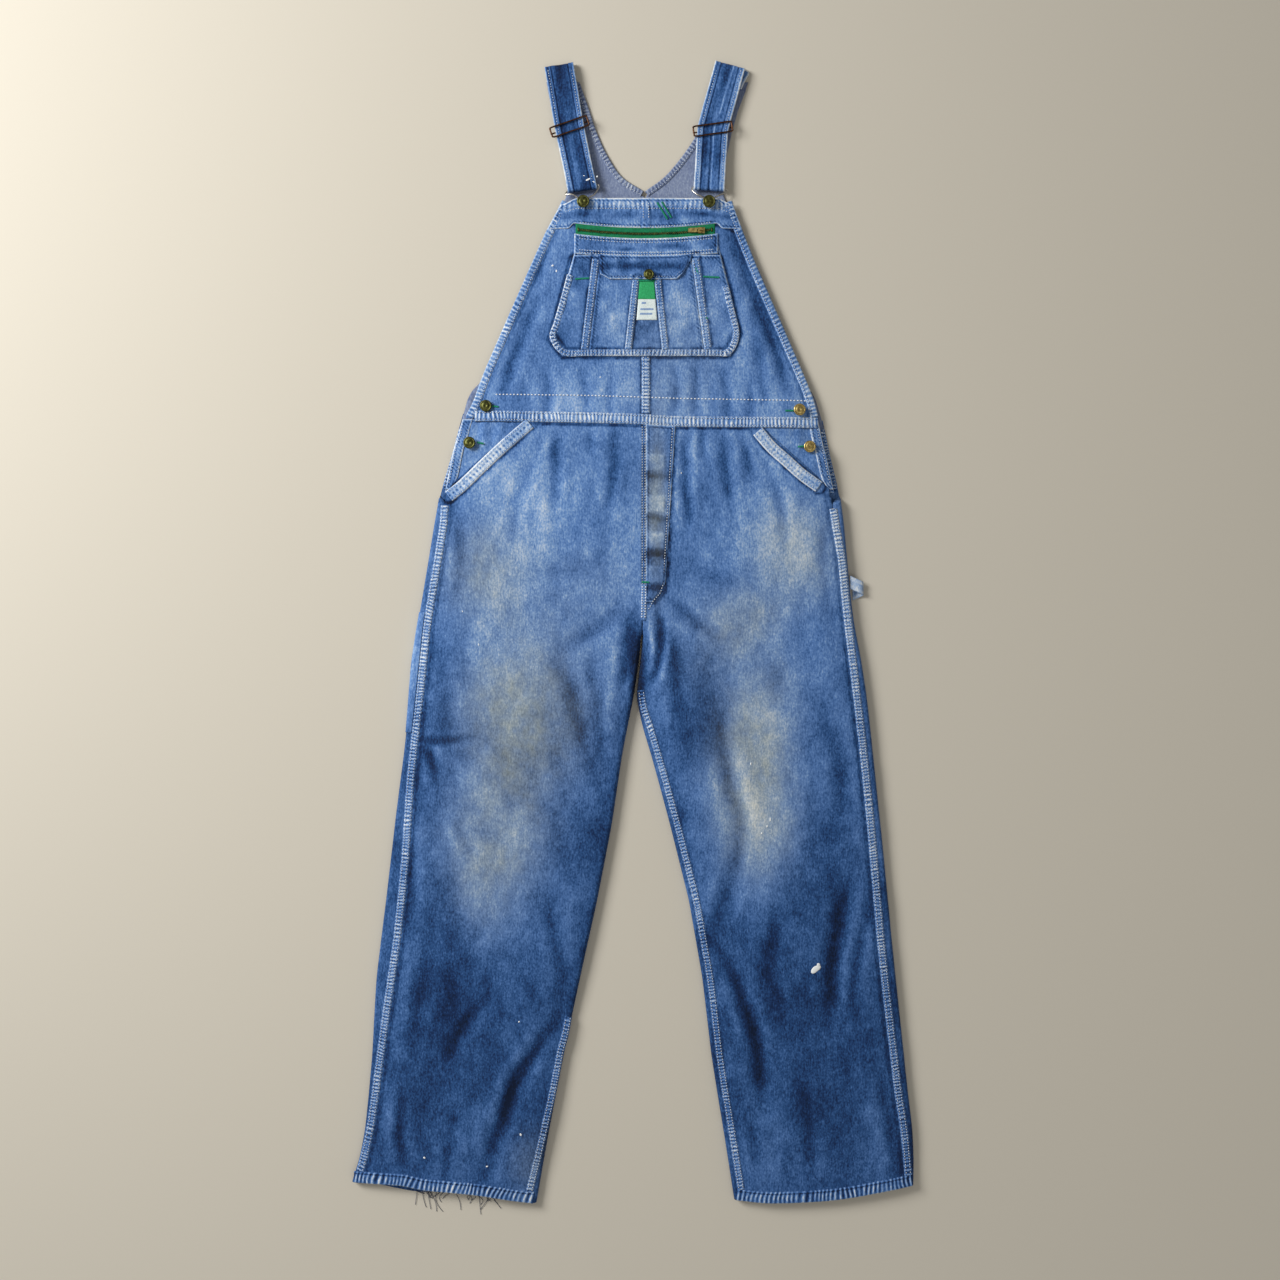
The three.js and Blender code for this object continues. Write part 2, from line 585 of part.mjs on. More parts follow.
// Bib loop: a bar that the strap turns round, drawn in to a hook round the button's shank.
function bibLoop(side) {
  const [bx, by] = bibButtons[side];
  const reach = strapWidth[side] / 2 + 2.5;
  const strap = outline["strap_" + side];
  const middle = at(strap, BAR_Y);
  const tilt = (at(strap, BAR_Y - 4) - at(strap, BAR_Y + 4)) / 8;
  const half = (s) => [
    [middle + s * (reach - 2), BAR_Y + s * tilt * reach, BAR_Z],
    [middle + s * reach, BAR_Y - 4 + s * tilt * reach, BAR_Z + 1],
    [bx + s * (reach - 7), by + 5.5, HOOK_Z - 0.7], [bx + s * 8, by + 1.5, HOOK_Z],
    [bx + s * 4.6, by - 3, HOOK_Z], [bx + s * 4.2, by - 8, HOOK_Z],
  ];
  const points = [...half(-1), [bx, by - 11, HOOK_Z], ...half(1).reverse(), [middle, BAR_Y, BAR_Z]];
  return closedWire(points.map((p) => new THREE.Vector3(...p)), WIRE_RADIUS, 44);
}

// Tack button: a domed cap with a rolled rim on a short shank.
function button(radius, shank, cap) {
  const profile = [
    [0, 0], [2.4, 0], [2.4, shank], [radius - 1, shank], [radius, shank + 0.8],
    [radius - 0.6, shank + cap - 0.8], [radius - 2, shank + cap - 0.5], [radius / 2, shank + cap - 0.1],
    [0, shank + cap],
  ].map(([r, z]) => new THREE.Vector2(r, z));
  return new THREE.LatheGeometry(profile, 14).rotateX(Math.PI / 2);
}

for (const side of ["r", "l"]) {
  const middle = outline["strap_" + side];
  add("strap_" + side, ribbon(strapLine(side), middle, strapWidth[side], STRAP_THICK), paleDenim);
  const slider = add("strap_slider_" + side, sliderWire(), bronzeWire);
  slider.position.set(at(middle, sliderY[side]), sliderY[side], SLIDER.z);
  slider.rotation.z = THREE.MathUtils.degToRad(side === "r" ? 19 : 8);
  add("bib_loop_" + side, bibLoop(side), brightWire);
  const [x, y] = bibButtons[side];
  const foot = faceHeight(x, y - 4) + 0.5 + WALL + GAP;
  add("bib_button_" + side, button(BUTTON_RADIUS, 3, 3.2), brass).position.set(x, y - 4.5, foot);
}

const sideButtons = {
  side_button_upper_r: [-193, 292], side_button_lower_r: [-214, 244],
  side_button_upper_l: [213, 287], side_button_lower_l: [226, 239],
};
for (const [name, [x, y]] of Object.entries(sideButtons)) {
  add(name, button(SIDE_BUTTON_RADIUS, 1.4, 3), brass).position.set(x, y, faceHeight(x, y) + 0.8);
}
add("flap_button", button(FLAP_BUTTON_RADIUS, 1.2, 3), brass)
  .position.set(18, 462, faceHeight(18, 462) + LEVEL_3 + WALL + GAP);

// ---- zip slider and its pull ---------------------------------------------------------------------
const ZIP_SLIDER_X = 86;
const zipSliderY = zipMiddle(ZIP_SLIDER_X);
const zipFloor = faceHeight(ZIP_SLIDER_X, zipSliderY) + LEVEL_1 + 0.8 + GAP;
const BODY = { length: 9, width: 7.5, height: 2.4 };
const BRIDGE = { length: 6, width: 1.8, bar: 0.9, rise: 3 };
const PULL = { length: 17, width: 5.6, arm: 1.2, thick: 1, pin: 0.6, tilt: 6 };
function zipSliderBody() {
  const body = new THREE.BoxGeometry(BODY.length, BODY.width, BODY.height).translate(0, 0, BODY.height / 2);
  const top = BODY.height + BRIDGE.rise;
  const beam = new THREE.BoxGeometry(BRIDGE.length, BRIDGE.width, BRIDGE.bar)
    .translate(0, 0, top - BRIDGE.bar / 2);
  const leg = (s) => new THREE.BoxGeometry(BRIDGE.bar, BRIDGE.width, BRIDGE.rise + 0.4)
    .translate((s * (BRIDGE.length - BRIDGE.bar)) / 2, 0, BODY.height + BRIDGE.rise / 2 - 0.2);
  return joined(body, beam, leg(1), leg(-1));
}
// The pull lies along the zip; its end pin runs through the bridge, and its two arms pass either
// side of it.
function zipPull() {
  const plate = new THREE.Shape([
    [-PULL.length, -PULL.width / 2 + 0.8], [-PULL.length + 0.8, -PULL.width / 2],
    [PULL.pin, -PULL.width / 2], [PULL.pin, PULL.width / 2], [-PULL.length + 0.8, PULL.width / 2],
    [-PULL.length, PULL.width / 2 - 0.8],
  ].map(([x, y]) => new THREE.Vector2(x, y)));
  const slot = PULL.width / 2 - PULL.arm;
  plate.holes.push(new THREE.Path([
    [-PULL.pin, -slot], [-PULL.pin, slot], [-5.5, slot], [-5.5, -slot],
  ].map(([x, y]) => new THREE.Vector2(x, y))));
  const flat = new THREE.ExtrudeGeometry(plate, { depth: PULL.thick, bevelEnabled: false });
  return flat.translate(0, 0, -PULL.thick / 2);
}
const zipSlider = add("zip_slider", zipSliderBody(), brass);
zipSlider.position.set(ZIP_SLIDER_X, zipSliderY, zipFloor);
const zipHinge = [ZIP_SLIDER_X, zipSliderY, zipFloor + BODY.height + 1.2];
const pull = add("zip_pull", zipPull(), brass);
pull.position.set(...zipHinge);
pull.rotation.y = THREE.MathUtils.degToRad(-PULL.tilt);

// ---- hammer loop and tool pocket -------------------------------------------------------------------
const LOOP_WIDTH = 17;
function hammerLoop() {
  const [near, far] = [at(outline.outer_l, 62) + 0.8, 297];
  const line = [
    [near, 7.4], [far - 8, 7.6], [far - 2.5, 6.8], [far - 0.6, 4.6], [far - 2.5, 2.4],
    [far - 8, 1.4], [near + 4, 1.2],
  ];
  const face = (by) => line.map(([x, z], i) => {
    const [a, b] = [line[Math.max(0, i - 1)], line[Math.min(line.length - 1, i + 1)]];
    const length = Math.hypot(b[0] - a[0], b[1] - a[1]);
    const [nx, nz] = [-(b[1] - a[1]) / length, (b[0] - a[0]) / length];
    return [-LOOP_WIDTH / 2, LOOP_WIDTH / 2]
      .map((dy) => [x + nx * by, 62 + dy + (i < 3 ? 0 : -3), z + nz * by]);
  });
  return layer(face(0.5), face(-0.5));
}
add("hammer_loop", hammerLoop(), paleDenim);

const toolLevels = [-125, -85, -40, 0, 12, 26];
const TOOL_LIFT = 0.5;
function toolPocket() {
  const ring = (out) => toolLevels.map((level) => {
    const { outer } = sidesAt("r", level);
    const short = { ...outer, run: outer.run - 3 };
    return rolledSide(short, -out, 12).slice(0, 9).map(([x, z]) => [x, level, z]);
  });
  return layer(ring(TOOL_LIFT + THIN_WALL), ring(TOOL_LIFT));
}
add("tool_pocket", toolPocket(), paleDenim);

// The origin goes under the middle of the laid-out garment.
const reach = new THREE.Box3().setFromObject(dungarees, true);
const middle = reach.getCenter(new THREE.Vector3());
dungarees.position.set(-middle.x, -middle.y, -reach.min.z);

export default dungarees;
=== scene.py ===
# %% [markdown]
# # Denim bib dungarees, laid flat
# A pair of dungarees is flat denim panels joined by felled seams, hemmed edges and tack buttons.
# Lying on its back, each leg is a flattened tube: the back panel rests on the surface and rolls up
# round the sides, and the front panel lies on top. The frame gives the panels' places and their
# long sides. The waist seam, hems and pocket edges are set here, more bent than the solids' are.

# %% Load the frame
import math

import bpy
import numpy as np
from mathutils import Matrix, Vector
from mathutils.bvhtree import BVHTree


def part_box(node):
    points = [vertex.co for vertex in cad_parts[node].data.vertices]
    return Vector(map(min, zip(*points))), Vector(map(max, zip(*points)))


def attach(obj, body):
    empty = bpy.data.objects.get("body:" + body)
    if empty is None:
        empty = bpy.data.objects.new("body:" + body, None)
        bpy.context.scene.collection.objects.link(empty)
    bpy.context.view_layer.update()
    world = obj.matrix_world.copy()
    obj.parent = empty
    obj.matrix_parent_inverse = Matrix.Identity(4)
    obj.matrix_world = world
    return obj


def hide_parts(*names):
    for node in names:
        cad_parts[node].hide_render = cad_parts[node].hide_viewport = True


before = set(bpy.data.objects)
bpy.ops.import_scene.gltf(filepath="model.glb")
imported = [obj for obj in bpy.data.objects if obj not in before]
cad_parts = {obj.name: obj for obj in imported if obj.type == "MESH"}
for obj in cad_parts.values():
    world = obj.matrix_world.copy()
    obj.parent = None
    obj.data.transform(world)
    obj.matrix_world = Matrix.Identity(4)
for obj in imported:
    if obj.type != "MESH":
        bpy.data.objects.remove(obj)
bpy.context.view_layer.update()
MM = 0.001

# %% [markdown]
# Sizes below are in millimetres in the garment's own plan: x towards the wearer's left, y from the
# hems up to the strap folds. The flap button is a known point of that plan, so its node gives the
# small shift between the plan and the frame.

# %% The garment's plan
FLAP_BUTTON = (18.0, 462.0)
low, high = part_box("flap_button")
SHIFT = np.array([(low.x + high.x) / 2 / MM - FLAP_BUTTON[0], (low.y + high.y) / 2 / MM - FLAP_BUTTON[1]])
HEM, CROTCH, WAIST, BIB_TOP = -742.0, 12.0, 262.0, 562.0
FOLD = 4.5          # how far a rolled side reaches in from the outline
CLOTH = 0.9         # one layer of worn denim
print("plan shift", SHIFT.round(2))


# %% Corners and outline of a solid
def node_mesh(name):
    """A node's corners in plan millimetres, and its triangles."""
    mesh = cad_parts[name].data
    mesh.calc_loop_triangles()
    points = np.array([v.co for v in mesh.vertices], float) / MM
    points[:, :2] -= SHIFT
    return points, np.array([t.vertices for t in mesh.loop_triangles])


def span(name, levels):
    """Lowest and highest x of a node where y is each level."""
    points, triangles = node_mesh(name)
    edges = np.unique(np.sort(np.vstack([triangles[:, [0, 1]], triangles[:, [1, 2]],
            triangles[:, [2, 0]]]), axis=1), axis=0)
    a, b = points[edges[:, 0]], points[edges[:, 1]]
    found = []
    for y in levels:
        hit = (a[:, 1] - y) * (b[:, 1] - y) <= 0
        p, q = a[hit], b[hit]
        t = np.clip((y - p[:, 1]) / np.where(np.abs(q[:, 1] - p[:, 1]) < 1e-9, 1e-9, q[:, 1] - p[:, 1]),
                    0, 1)
        x = p[:, 0] + t * (q[:, 0] - p[:, 0])
        found.append((x.min(), x.max()) if len(x) else (np.nan, np.nan))
    return np.array(found)


print("right bib at its middle runs from and to", span("bib_r", [400.0])[0].round(1))

# %% One side of a panel as a smooth line
def softened(values, steps):
    """A list of numbers with its corners rounded over that many steps."""
    if steps < 1:
        return values
    kernel = np.exp(-np.linspace(-2.5, 2.5, 2 * int(2 * steps) + 1) ** 2)
    padded = np.pad(values, len(kernel) // 2, mode="reflect", reflect_type="odd")
    return np.convolve(padded, kernel / kernel.sum(), mode="valid")


def edge_line(name, which, low_y, high_y, step=4.0, soft=14.0):
    """A node's outline on one side as a smooth function of y; which is 0 for low x, 1 for high x."""
    levels = np.arange(low_y, high_y + step / 2, step)
    values = softened(span(name, levels)[:, which], soft / step)
    slope_low = (values[6] - values[1]) / (5 * step)
    slope_high = (values[-2] - values[-7]) / (5 * step)

    def line(y):
        y = np.asarray(y, float)
        inside = np.interp(y, levels, values)
        return inside + np.where(y < low_y, (y - low_y) * slope_low, 0) + np.where(y > high_y,
                (y - high_y) * slope_high, 0)

    return line


print("its armhole there", round(float(edge_line("bib_r", 0, 266, 556)(400.0)), 1))

# %% Easing
def smooth(t):
    """An ease from 0 to 1."""
    t = np.clip(t, 0, 1)
    return t * t * (3 - 2 * t)


def bell(t):
    """1 at 0, falling smoothly to almost 0 at 2."""
    return np.exp(-np.asarray(t) ** 2)


print("halfway", smooth(0.5), "one width out", round(float(bell(1)), 2))

# %% [markdown]
# Worn cloth is never even, so most fields below are broken up by noise. A lattice of seeded random
# numbers, joined smoothly, gives the same noise on every run and works on whole arrays at once.

# %% Seeded noise
LATTICE = np.random.default_rng(7).random((8, 128, 128))


def noise(x, y, wide, tall, seed=0):
    """Smooth noise from 0 to 1 with patches of that width and height in millimetres."""
    grid = LATTICE[seed % 8]
    u, v = np.asarray(x) / wide + 13.7 * seed + 4000, np.asarray(y) / tall + 7.3 * seed + 4000
    i, j = np.floor(u).astype(int), np.floor(v).astype(int)
    s, t = smooth(u - i), smooth(v - j)
    a, b = grid[i % 128, j % 128], grid[(i + 1) % 128, j % 128]
    c, d = grid[i % 128, (j + 1) % 128], grid[(i + 1) % 128, (j + 1) % 128]
    return a * (1 - s) * (1 - t) + b * s * (1 - t) + c * (1 - s) * t + d * s * t


print("noise at three places", noise(np.array([0.0, 20.0, 40.0]), 0.0, 46, 70).round(2))

# %% Distance to a line, and a smooth curve through points
def along_line(points, x, y):
    """For each [x, y]: distance to a line through points, and how far along it, from 0 to 1."""
    points = np.array(points, float)
    lengths = np.linalg.norm(np.diff(points, axis=0), axis=1)
    starts = np.concatenate([[0], np.cumsum(lengths)])
    best, where = np.full(np.shape(x), 1e9), np.zeros(np.shape(x))
    for (ax, ay), (bx, by), length, start in zip(points[:-1], points[1:], lengths, starts):
        t = np.clip(((x - ax) * (bx - ax) + (y - ay) * (by - ay)) / length ** 2, 0, 1)
        d = np.hypot(x - ax - t * (bx - ax), y - ay - t * (by - ay))
        near = d < best
        best, where = np.where(near, d, best), np.where(near, start + t * length, where)
    return best, where / starts[-1]


def curve_through(points, step):
    """Points every step along a smooth curve through hand-set points."""
    p = np.array(points, float)
    ends = np.vstack([2 * p[0] - p[1], p, 2 * p[-1] - p[-2]])
    out = []
    for k in range(len(p) - 1):
        a, b, c, d = ends[k:k + 4]
        n = max(2, int(np.linalg.norm(c - b) / step))
        t = np.linspace(0, 1, n, endpoint=False)[:, None]
        out.append(0.5 * (2 * b + (c - a) * t + (2 * a - 5 * b + 4 * c - d) * t ** 2
                          + (3 * b - a - 3 * c + d) * t ** 3))
    dense = np.vstack(out + [p[-1:]])
    s = np.concatenate([[0], np.cumsum(np.linalg.norm(np.diff(dense, axis=0), axis=1))])
    even = np.linspace(0, s[-1], max(3, int(round(s[-1] / step)) + 1))
    return np.column_stack([np.interp(even, s, dense[:, k]) for k in range(dense.shape[1])])


print("points on a small bend", len(curve_through([(0, 0), (10, 5), (20, 0)], 2.0)))

# %% [markdown]
# ## The form under the creases
# The front's solids give the large form: the height of the top of the cloth over the surface. Rays
# dropped on them every few millimetres and then softened give a height without facets, which goes
# on smoothly a little past each panel's edge, so that neighbours share it.

# %% Height of the cloth, from the frame's solids
CELL = 6.0
SOFT = 13.0
xs = np.arange(-400, 401, CELL)
ys = np.arange(-770, 601, CELL)
points, faces, count = [], [], 0
for name in ("front_leg_r", "front_leg_l", "bib_r", "bib_l", "back_leg_r", "back_leg_l"):
    p, t = node_mesh(name)
    points.append(p)
    faces.append(t + count)
    count += len(p)
tree = BVHTree.FromPolygons(np.vstack(points).tolist(), np.vstack(faces).tolist())
LEAST_TOP = 5.5
heights = np.zeros((len(ys), len(xs)))
known = np.zeros_like(heights)
for i, y in enumerate(ys):
    for j, x in enumerate(xs):
        hit = tree.ray_cast(Vector((x, y, 100)), Vector((0, 0, -1)))[0]
        if hit is not None and hit.z > LEAST_TOP:
            heights[i, j], known[i, j] = hit.z, 1


def blurred(grid, cells):
    """A grid smoothed over that many cells."""
    kernel = np.exp(-0.5 * (np.arange(-int(3 * cells), int(3 * cells) + 1) / cells) ** 2)
    kernel /= kernel.sum()
    grid = np.apply_along_axis(np.convolve, 0, grid, kernel, mode="same")
    return np.apply_along_axis(np.convolve, 1, grid, kernel, mode="same")


share = blurred(known, SOFT / CELL)
form = np.where(share > 1e-4, blurred(heights * known, SOFT / CELL) / np.maximum(share, 1e-4), 8.0)


def form_height(x, y):
    """Smooth height of the top of the front cloth, creases left out."""
    u = np.clip((np.asarray(x, float) - xs[0]) / CELL, 0, len(xs) - 1.001)
    v = np.clip((np.asarray(y, float) - ys[0]) / CELL, 0, len(ys) - 1.001)
    i, j = u.astype(int), v.astype(int)
    s, t = u - i, v - j
    return (form[j, i] * (1 - s) * (1 - t) + form[j, i + 1] * s * (1 - t)
            + form[j + 1, i] * (1 - s) * t + form[j + 1, i + 1] * s * t)


print("form height", form[known > 0].min().round(1), "to", form[known > 0].max().round(1), "mm")

# %% [markdown]
# ## Creases
# A crease in laid-out denim is a soft trough with a low ridge on each side, dying out at its ends.
# Each is listed with the line it follows, its half width, and its depth. A negative depth is a
# ridge on its own.

# %% The creases
CREASES = [
    # wearer's right leg
    ([(-103, -505), (-142, -560), (-168, -618), (-196, -700)], 10, 2.7),
    ([(-128, -520), (-170, -590), (-200, -660)], 16, -1.6),
    ([(-190, -470), (-225, -515), (-252, -560)], 10, 1.6),
    ([(-305, -600), (-304, -655), (-300, -700)], 8, 1.8),
    ([(-282, -138), (-246, -142), (-208, -136)], 6, 1.2),
    ([(-271, -146), (-256, -190)], 7, 1.4),
    ([(-236, -238), (-214, -292)], 8, 1.4),
    ([(-99, -40), (-70, -120), (-44, -212)], 14, 1.8),
    ([(-58, -30), (-48, -120), (-36, -190)], 9, 1.3),
    ([(-262, -20), (-242, -110), (-238, -180)], 12, 1.0),
    ([(-300, -250), (-290, -330), (-296, -400)], 9, 1.2),
    ([(-120, -330), (-100, -420), (-98, -480)], 11, 1.3),
    ([(-270, -420), (-284, -500), (-290, -560)], 10, 1.0),
    ([(-230, -620), (-244, -680), (-250, -725)], 9, 1.1),
    # wearer's left leg
    ([(103, -90), (110, -135), (118, -182), (136, -250), (128, -300), (118, -340), (99, -400)], 12, 2.5),
    ([(97, -398), (118, -427), (146, -497), (161, -567), (167, -620)], 10, 2.2),
    ([(128, -130), (146, -205), (150, -260)], 14, -1.3),
    ([(275, -318), (257, -415), (250, -510)], 11, 2.4),
    ([(300, -350), (286, -430), (282, -500)], 8, 1.2),
    ([(52, -230), (68, -320), (84, -385)], 8, 1.2),
    ([(180, -360), (172, -430), (186, -500)], 12, 1.2),
    ([(210, -560), (224, -640), (220, -700)], 10, 1.1),
    ([(318, -560), (330, -640), (336, -700)], 9, 1.3),
    ([(150, -640), (160, -700)], 8, 1.2),
    ([(238, -90), (262, -170), (270, -250)], 12, 1.1),
    # crotch and seat
    ([(26, 36), (33, 8), (31, -34), (20, -66)], 6, 2.3),
    ([(17, 14), (24, -18), (21, -50)], 3, -0.9),
    ([(60, -10), (52, -70), (60, -120)], 10, 1.4),
    ([(-8, 20), (-12, -30), (-20, -80)], 8, 1.8),
    ([(46, 40), (84, 6), (120, -16)], 10, 1.6),
    ([(-14, 34), (-52, 2), (-92, -18)], 11, 1.5),
    ([(60, 92), (108, 66), (150, 60)], 13, 1.0),
    ([(-30, 96), (-90, 78), (-140, 82)], 14, 0.9),
    # below the waist seam
    ([(-98, 262), (-104, 215), (-106, 150)], 8, 1.8),
    ([(-60, 262), (-58, 225)], 6, 1.0),
    ([(-24, 262), (-30, 205), (-36, 150)], 7, 1.2),
    ([(66, 262), (64, 205), (70, 130)], 7, 1.9),
    ([(84, 262), (90, 220)], 5, 1.2),
    ([(112, 262), (118, 205), (128, 140)], 8, 1.6),
    ([(140, 250), (150, 200)], 6, 1.1),
    ([(-126, 240), (-150, 180), (-160, 120)], 9, 1.2),
    ([(168, 215), (186, 165), (192, 110)], 8, 1.4),
    ([(-236, 160), (-226, 100), (-232, 40)], 9, 1.2),
    ([(250, 150), (240, 90), (250, 20)], 9, 1.2),
    # bib
    ([(128, 512), (146, 455), (166, 405), (186, 352), (196, 312)], 8, 2.6),
    ([(150, 420), (160, 360), (166, 300)], 7, 1.2),
    ([(-128, 430), (-148, 385), (-166, 330), (-174, 296)], 9, 1.9),
    ([(-116, 500), (-128, 450)], 7, 1.2),
    ([(-120, 340), (-112, 300), (-116, 268)], 8, 1.3),
    ([(-70, 345), (-64, 300), (-66, 268)], 7, 1.1),
    ([(-30, 350), (-34, 305), (-28, 268)], 6, 0.9),
    ([(48, 350), (52, 305), (46, 268)], 7, 1.2),
    ([(82, 350), (78, 300), (82, 268)], 6, 1.1),
    ([(112, 345), (120, 300), (116, 268)], 7, 1.3),
    ([(150, 330), (150, 290), (146, 268)], 6, 1.1),
]


print("creases placed by hand", len(CREASES))

# %% Relief that the creases give
CREASE_SHARE = 0.6   # smoothing by hand leaves this much of each


def crease_relief(x, y):
    """Height change of all creases, and how deep in a trough each point is, from 0 to 1."""
    relief, trough = np.zeros(np.shape(x)), np.zeros(np.shape(x))
    for line, half, depth in CREASES:
        points = curve_through(line, 12.0)
        reach = 3.2 * half
        near = ((x > points[:, 0].min() - reach) & (x < points[:, 0].max() + reach)
                & (y > points[:, 1].min() - reach) & (y < points[:, 1].max() + reach))
        if not near.any():
            continue
        px, py = x[near], y[near]
        d, t = along_line(points, px + 3 * (noise(px, py, 26, 26, 3) - 0.5), py)
        fade = np.sqrt(np.clip(np.sin(np.pi * np.clip(t, 0.02, 0.98)), 0, 1))
        fade *= CREASE_SHARE * smooth(1.4 - d / reach)
        relief[near] -= depth * fade * (bell(d / half) - 0.4 * bell((d - 1.9 * half) / (0.9 * half)))
        trough[near] += max(depth, 0) / 2.4 * fade * bell(d / (0.8 * half))
    return relief, np.clip(trough, 0, 1)


# %% Rumples, and the height of the worn cloth
def rumple(x, y):
    """Low, wide unevenness of washed cloth that was smoothed out by hand."""
    wide = 1.3 * (noise(x, y, 62, 95, 1) - 0.5) + 0.8 * (noise(x, y, 28, 46, 2) - 0.5)
    return wide + 0.45 * (noise(x, y, 12, 17, 4) - 0.5) + 0.26 * (noise(x, y, 5, 7, 5) - 0.5)


def cloth_height(x, y):
    """Height of the top of the front cloth with its creases, and the trough share."""
    relief, trough = crease_relief(x, y)
    calm = 0.4 + 0.6 * smooth((300 - y) / 60)
    return form_height(x, y) + relief + calm * rumple(x, y), trough


print("height at the right knee", cloth_height(np.array([-150.0]), np.array([-150.0]))[0].round(1), "mm")

# %% [markdown]
# ## Wear, with painted light and shade
# Washing takes indigo off whatever stands proud: thighs and seams. The dye stays along the side
# seams and down the lower legs. Fold ridges are lightened as painted light, and fold valleys, stitch
# ditches and the feet of seams, which also keep dye, are darkened as painted shade. Three fields
# carry this to the shader: tone from 0, unwashed indigo, to 1, bleached; soil, the olive dirt ground
# into the knees; and rub, white threads laid bare, which on some ridges is a painted highlight.

# %% Tone, soil and rub over the plan
def patch_of(x, y, cx, cy, rx, ry, tilt=0.0):
    """1 in the middle of a soft tilted oval, falling to 0 outside it."""
    c, s = math.cos(math.radians(tilt)), math.sin(math.radians(tilt))
    u, v = ((x - cx) * c + (y - cy) * s) / rx, (-(x - cx) * s + (y - cy) * c) / ry
    return np.exp(-(u * u + v * v) ** 1.25)


TONE_LEVELS = [-742, -640, -520, -400, -250, -100, 40, 180, 262, 330, 420, 562, 745]
TONE_VALUES = [0.34, 0.33, 0.33, 0.36, 0.41, 0.47, 0.52, 0.55, 0.56, 0.55, 0.52, 0.51, 0.48]
PALE = [(-140, -60, 85, 150, 8, 0.13), (-190, -290, 62, 100, -6, 0.23), (-156, 95, 75, 70, 0, 0.07),
        (152, -190, 60, 150, -4, 0.22), (165, -270, 48, 70, 0, 0.10), (190, 110, 62, 60, 0, 0.14),
        (160, 30, 80, 60, 0, 0.07), (90, 30, 60, 60, 0, 0.05), (-60, 20, 60, 70, 0, 0.04),
        (-20, 330, 120, 40, 0, 0.04), (-40, -40, 40, 60, 0, 0.05), (-28, 408, 17, 52, 4, 0.16),
        (50, 404, 17, 50, -4, 0.18), (-80, 420, 14, 50, 6, 0.06), (102, 420, 14, 50, -6, 0.06),
        (-140, 195, 66, 50, 0, 0.13), (-60, 170, 80, 70, 0, 0.04), (190, 95, 56, 60, 0, 0.06),
        (-90, 300, 60, 24, 0, 0.05)]
# Mostly darker dye. Painted shade: the deep patch in the gap between the legs below the crotch, the ones
# beside the crotch folds and the one left of the fly.
DARKER_DYE_AND_SHADE = [(-250, 40, 36, 120, 4, -0.10), (-262, -190, 26, 170, 6, -0.08), (-60, -190, 34, 130, 8, -0.08),
        (60, -160, 28, 120, -8, -0.10), (262, -160, 30, 170, -6, -0.08), (36, 40, 18, 60, 0, -0.06),
        (-250, -560, 60, 120, 0, -0.05), (-90, 40, 50, 60, 0, -0.03), (250, -560, 60, 150, 0, -0.03),
        (90, -110, 30, 70, -10, -0.12), (-110, 230, 50, 30, 0, -0.04), (230, -450, 110, 190, 0, -0.02),
        (3, -52, 9, 64, 2, -0.46), (44, -16, 9, 36, 8, -0.20), (-20, 200, 14, 60, 4, -0.10),
        (86, 42, 36, 62, 0, -0.11), (-200, -430, 90, 90, 0, -0.04), (40, -20, 22, 60, 0, -0.08),
        (110, 190, 60, 60, 0, -0.04)]
SOILED = [(-152, -122, 66, 84, 6, 0.95), (-178, -255, 66, 92, -6, 0.60), (-120, -60, 70, 90, 20, 0.35),
          (152, -140, 50, 104, -6, 0.84), (162, -245, 46, 72, 0, 0.60), (205, 100, 50, 60, 0, 0.62),
          (140, 14, 46, 40, 10, 0.52), (-190, 76, 58, 62, 0, 0.62), (-60, 60, 60, 50, 0, 0.14),
          (-128, -690, 34, 40, 0, 0.34), (95, -20, 40, 60, 0, 0.20), (45, 345, 60, 40, 0, 0.16),
          (-190, -330, 40, 60, 0, 0.34), (40, 300, 60, 30, 0, 0.12), (28, 165, 13, 105, 0, 0.85),
          (75, 400, 40, 50, 0, 0.16), (-10, 400, 60, 30, 0, 0.12)]


print("patches: pale", len(PALE), "dark", len(DARKER_DYE_AND_SHADE), "soiled", len(SOILED))

# %% Tone and soil at any point
def tone_at(x, y):
    """Tone of the cloth, from 0, unwashed, to 1, bleached."""
    tone = np.interp(y, TONE_LEVELS, TONE_VALUES)
    for cx, cy, rx, ry, tilt, by in PALE + DARKER_DYE_AND_SHADE:
        tone = tone + by * patch_of(x, y, cx, cy, rx, ry, tilt)
    tone = tone + 0.16 * (noise(x, y, 46, 70, 6) - 0.5) + 0.12 * (noise(x, y, 15, 26, 7) - 0.5)
    return tone


def soil_at(x, y):
    """How much dirt is in the cloth, from 0 to 1."""
    soil = np.zeros(np.shape(x))
    for cx, cy, rx, ry, tilt, by in SOILED:
        soil = soil + by * patch_of(x, y, cx, cy, rx, ry, tilt) * (0.75 + 0.5 * noise(x, y, 30, 40, 5))
    return np.clip(soil, 0, 1)


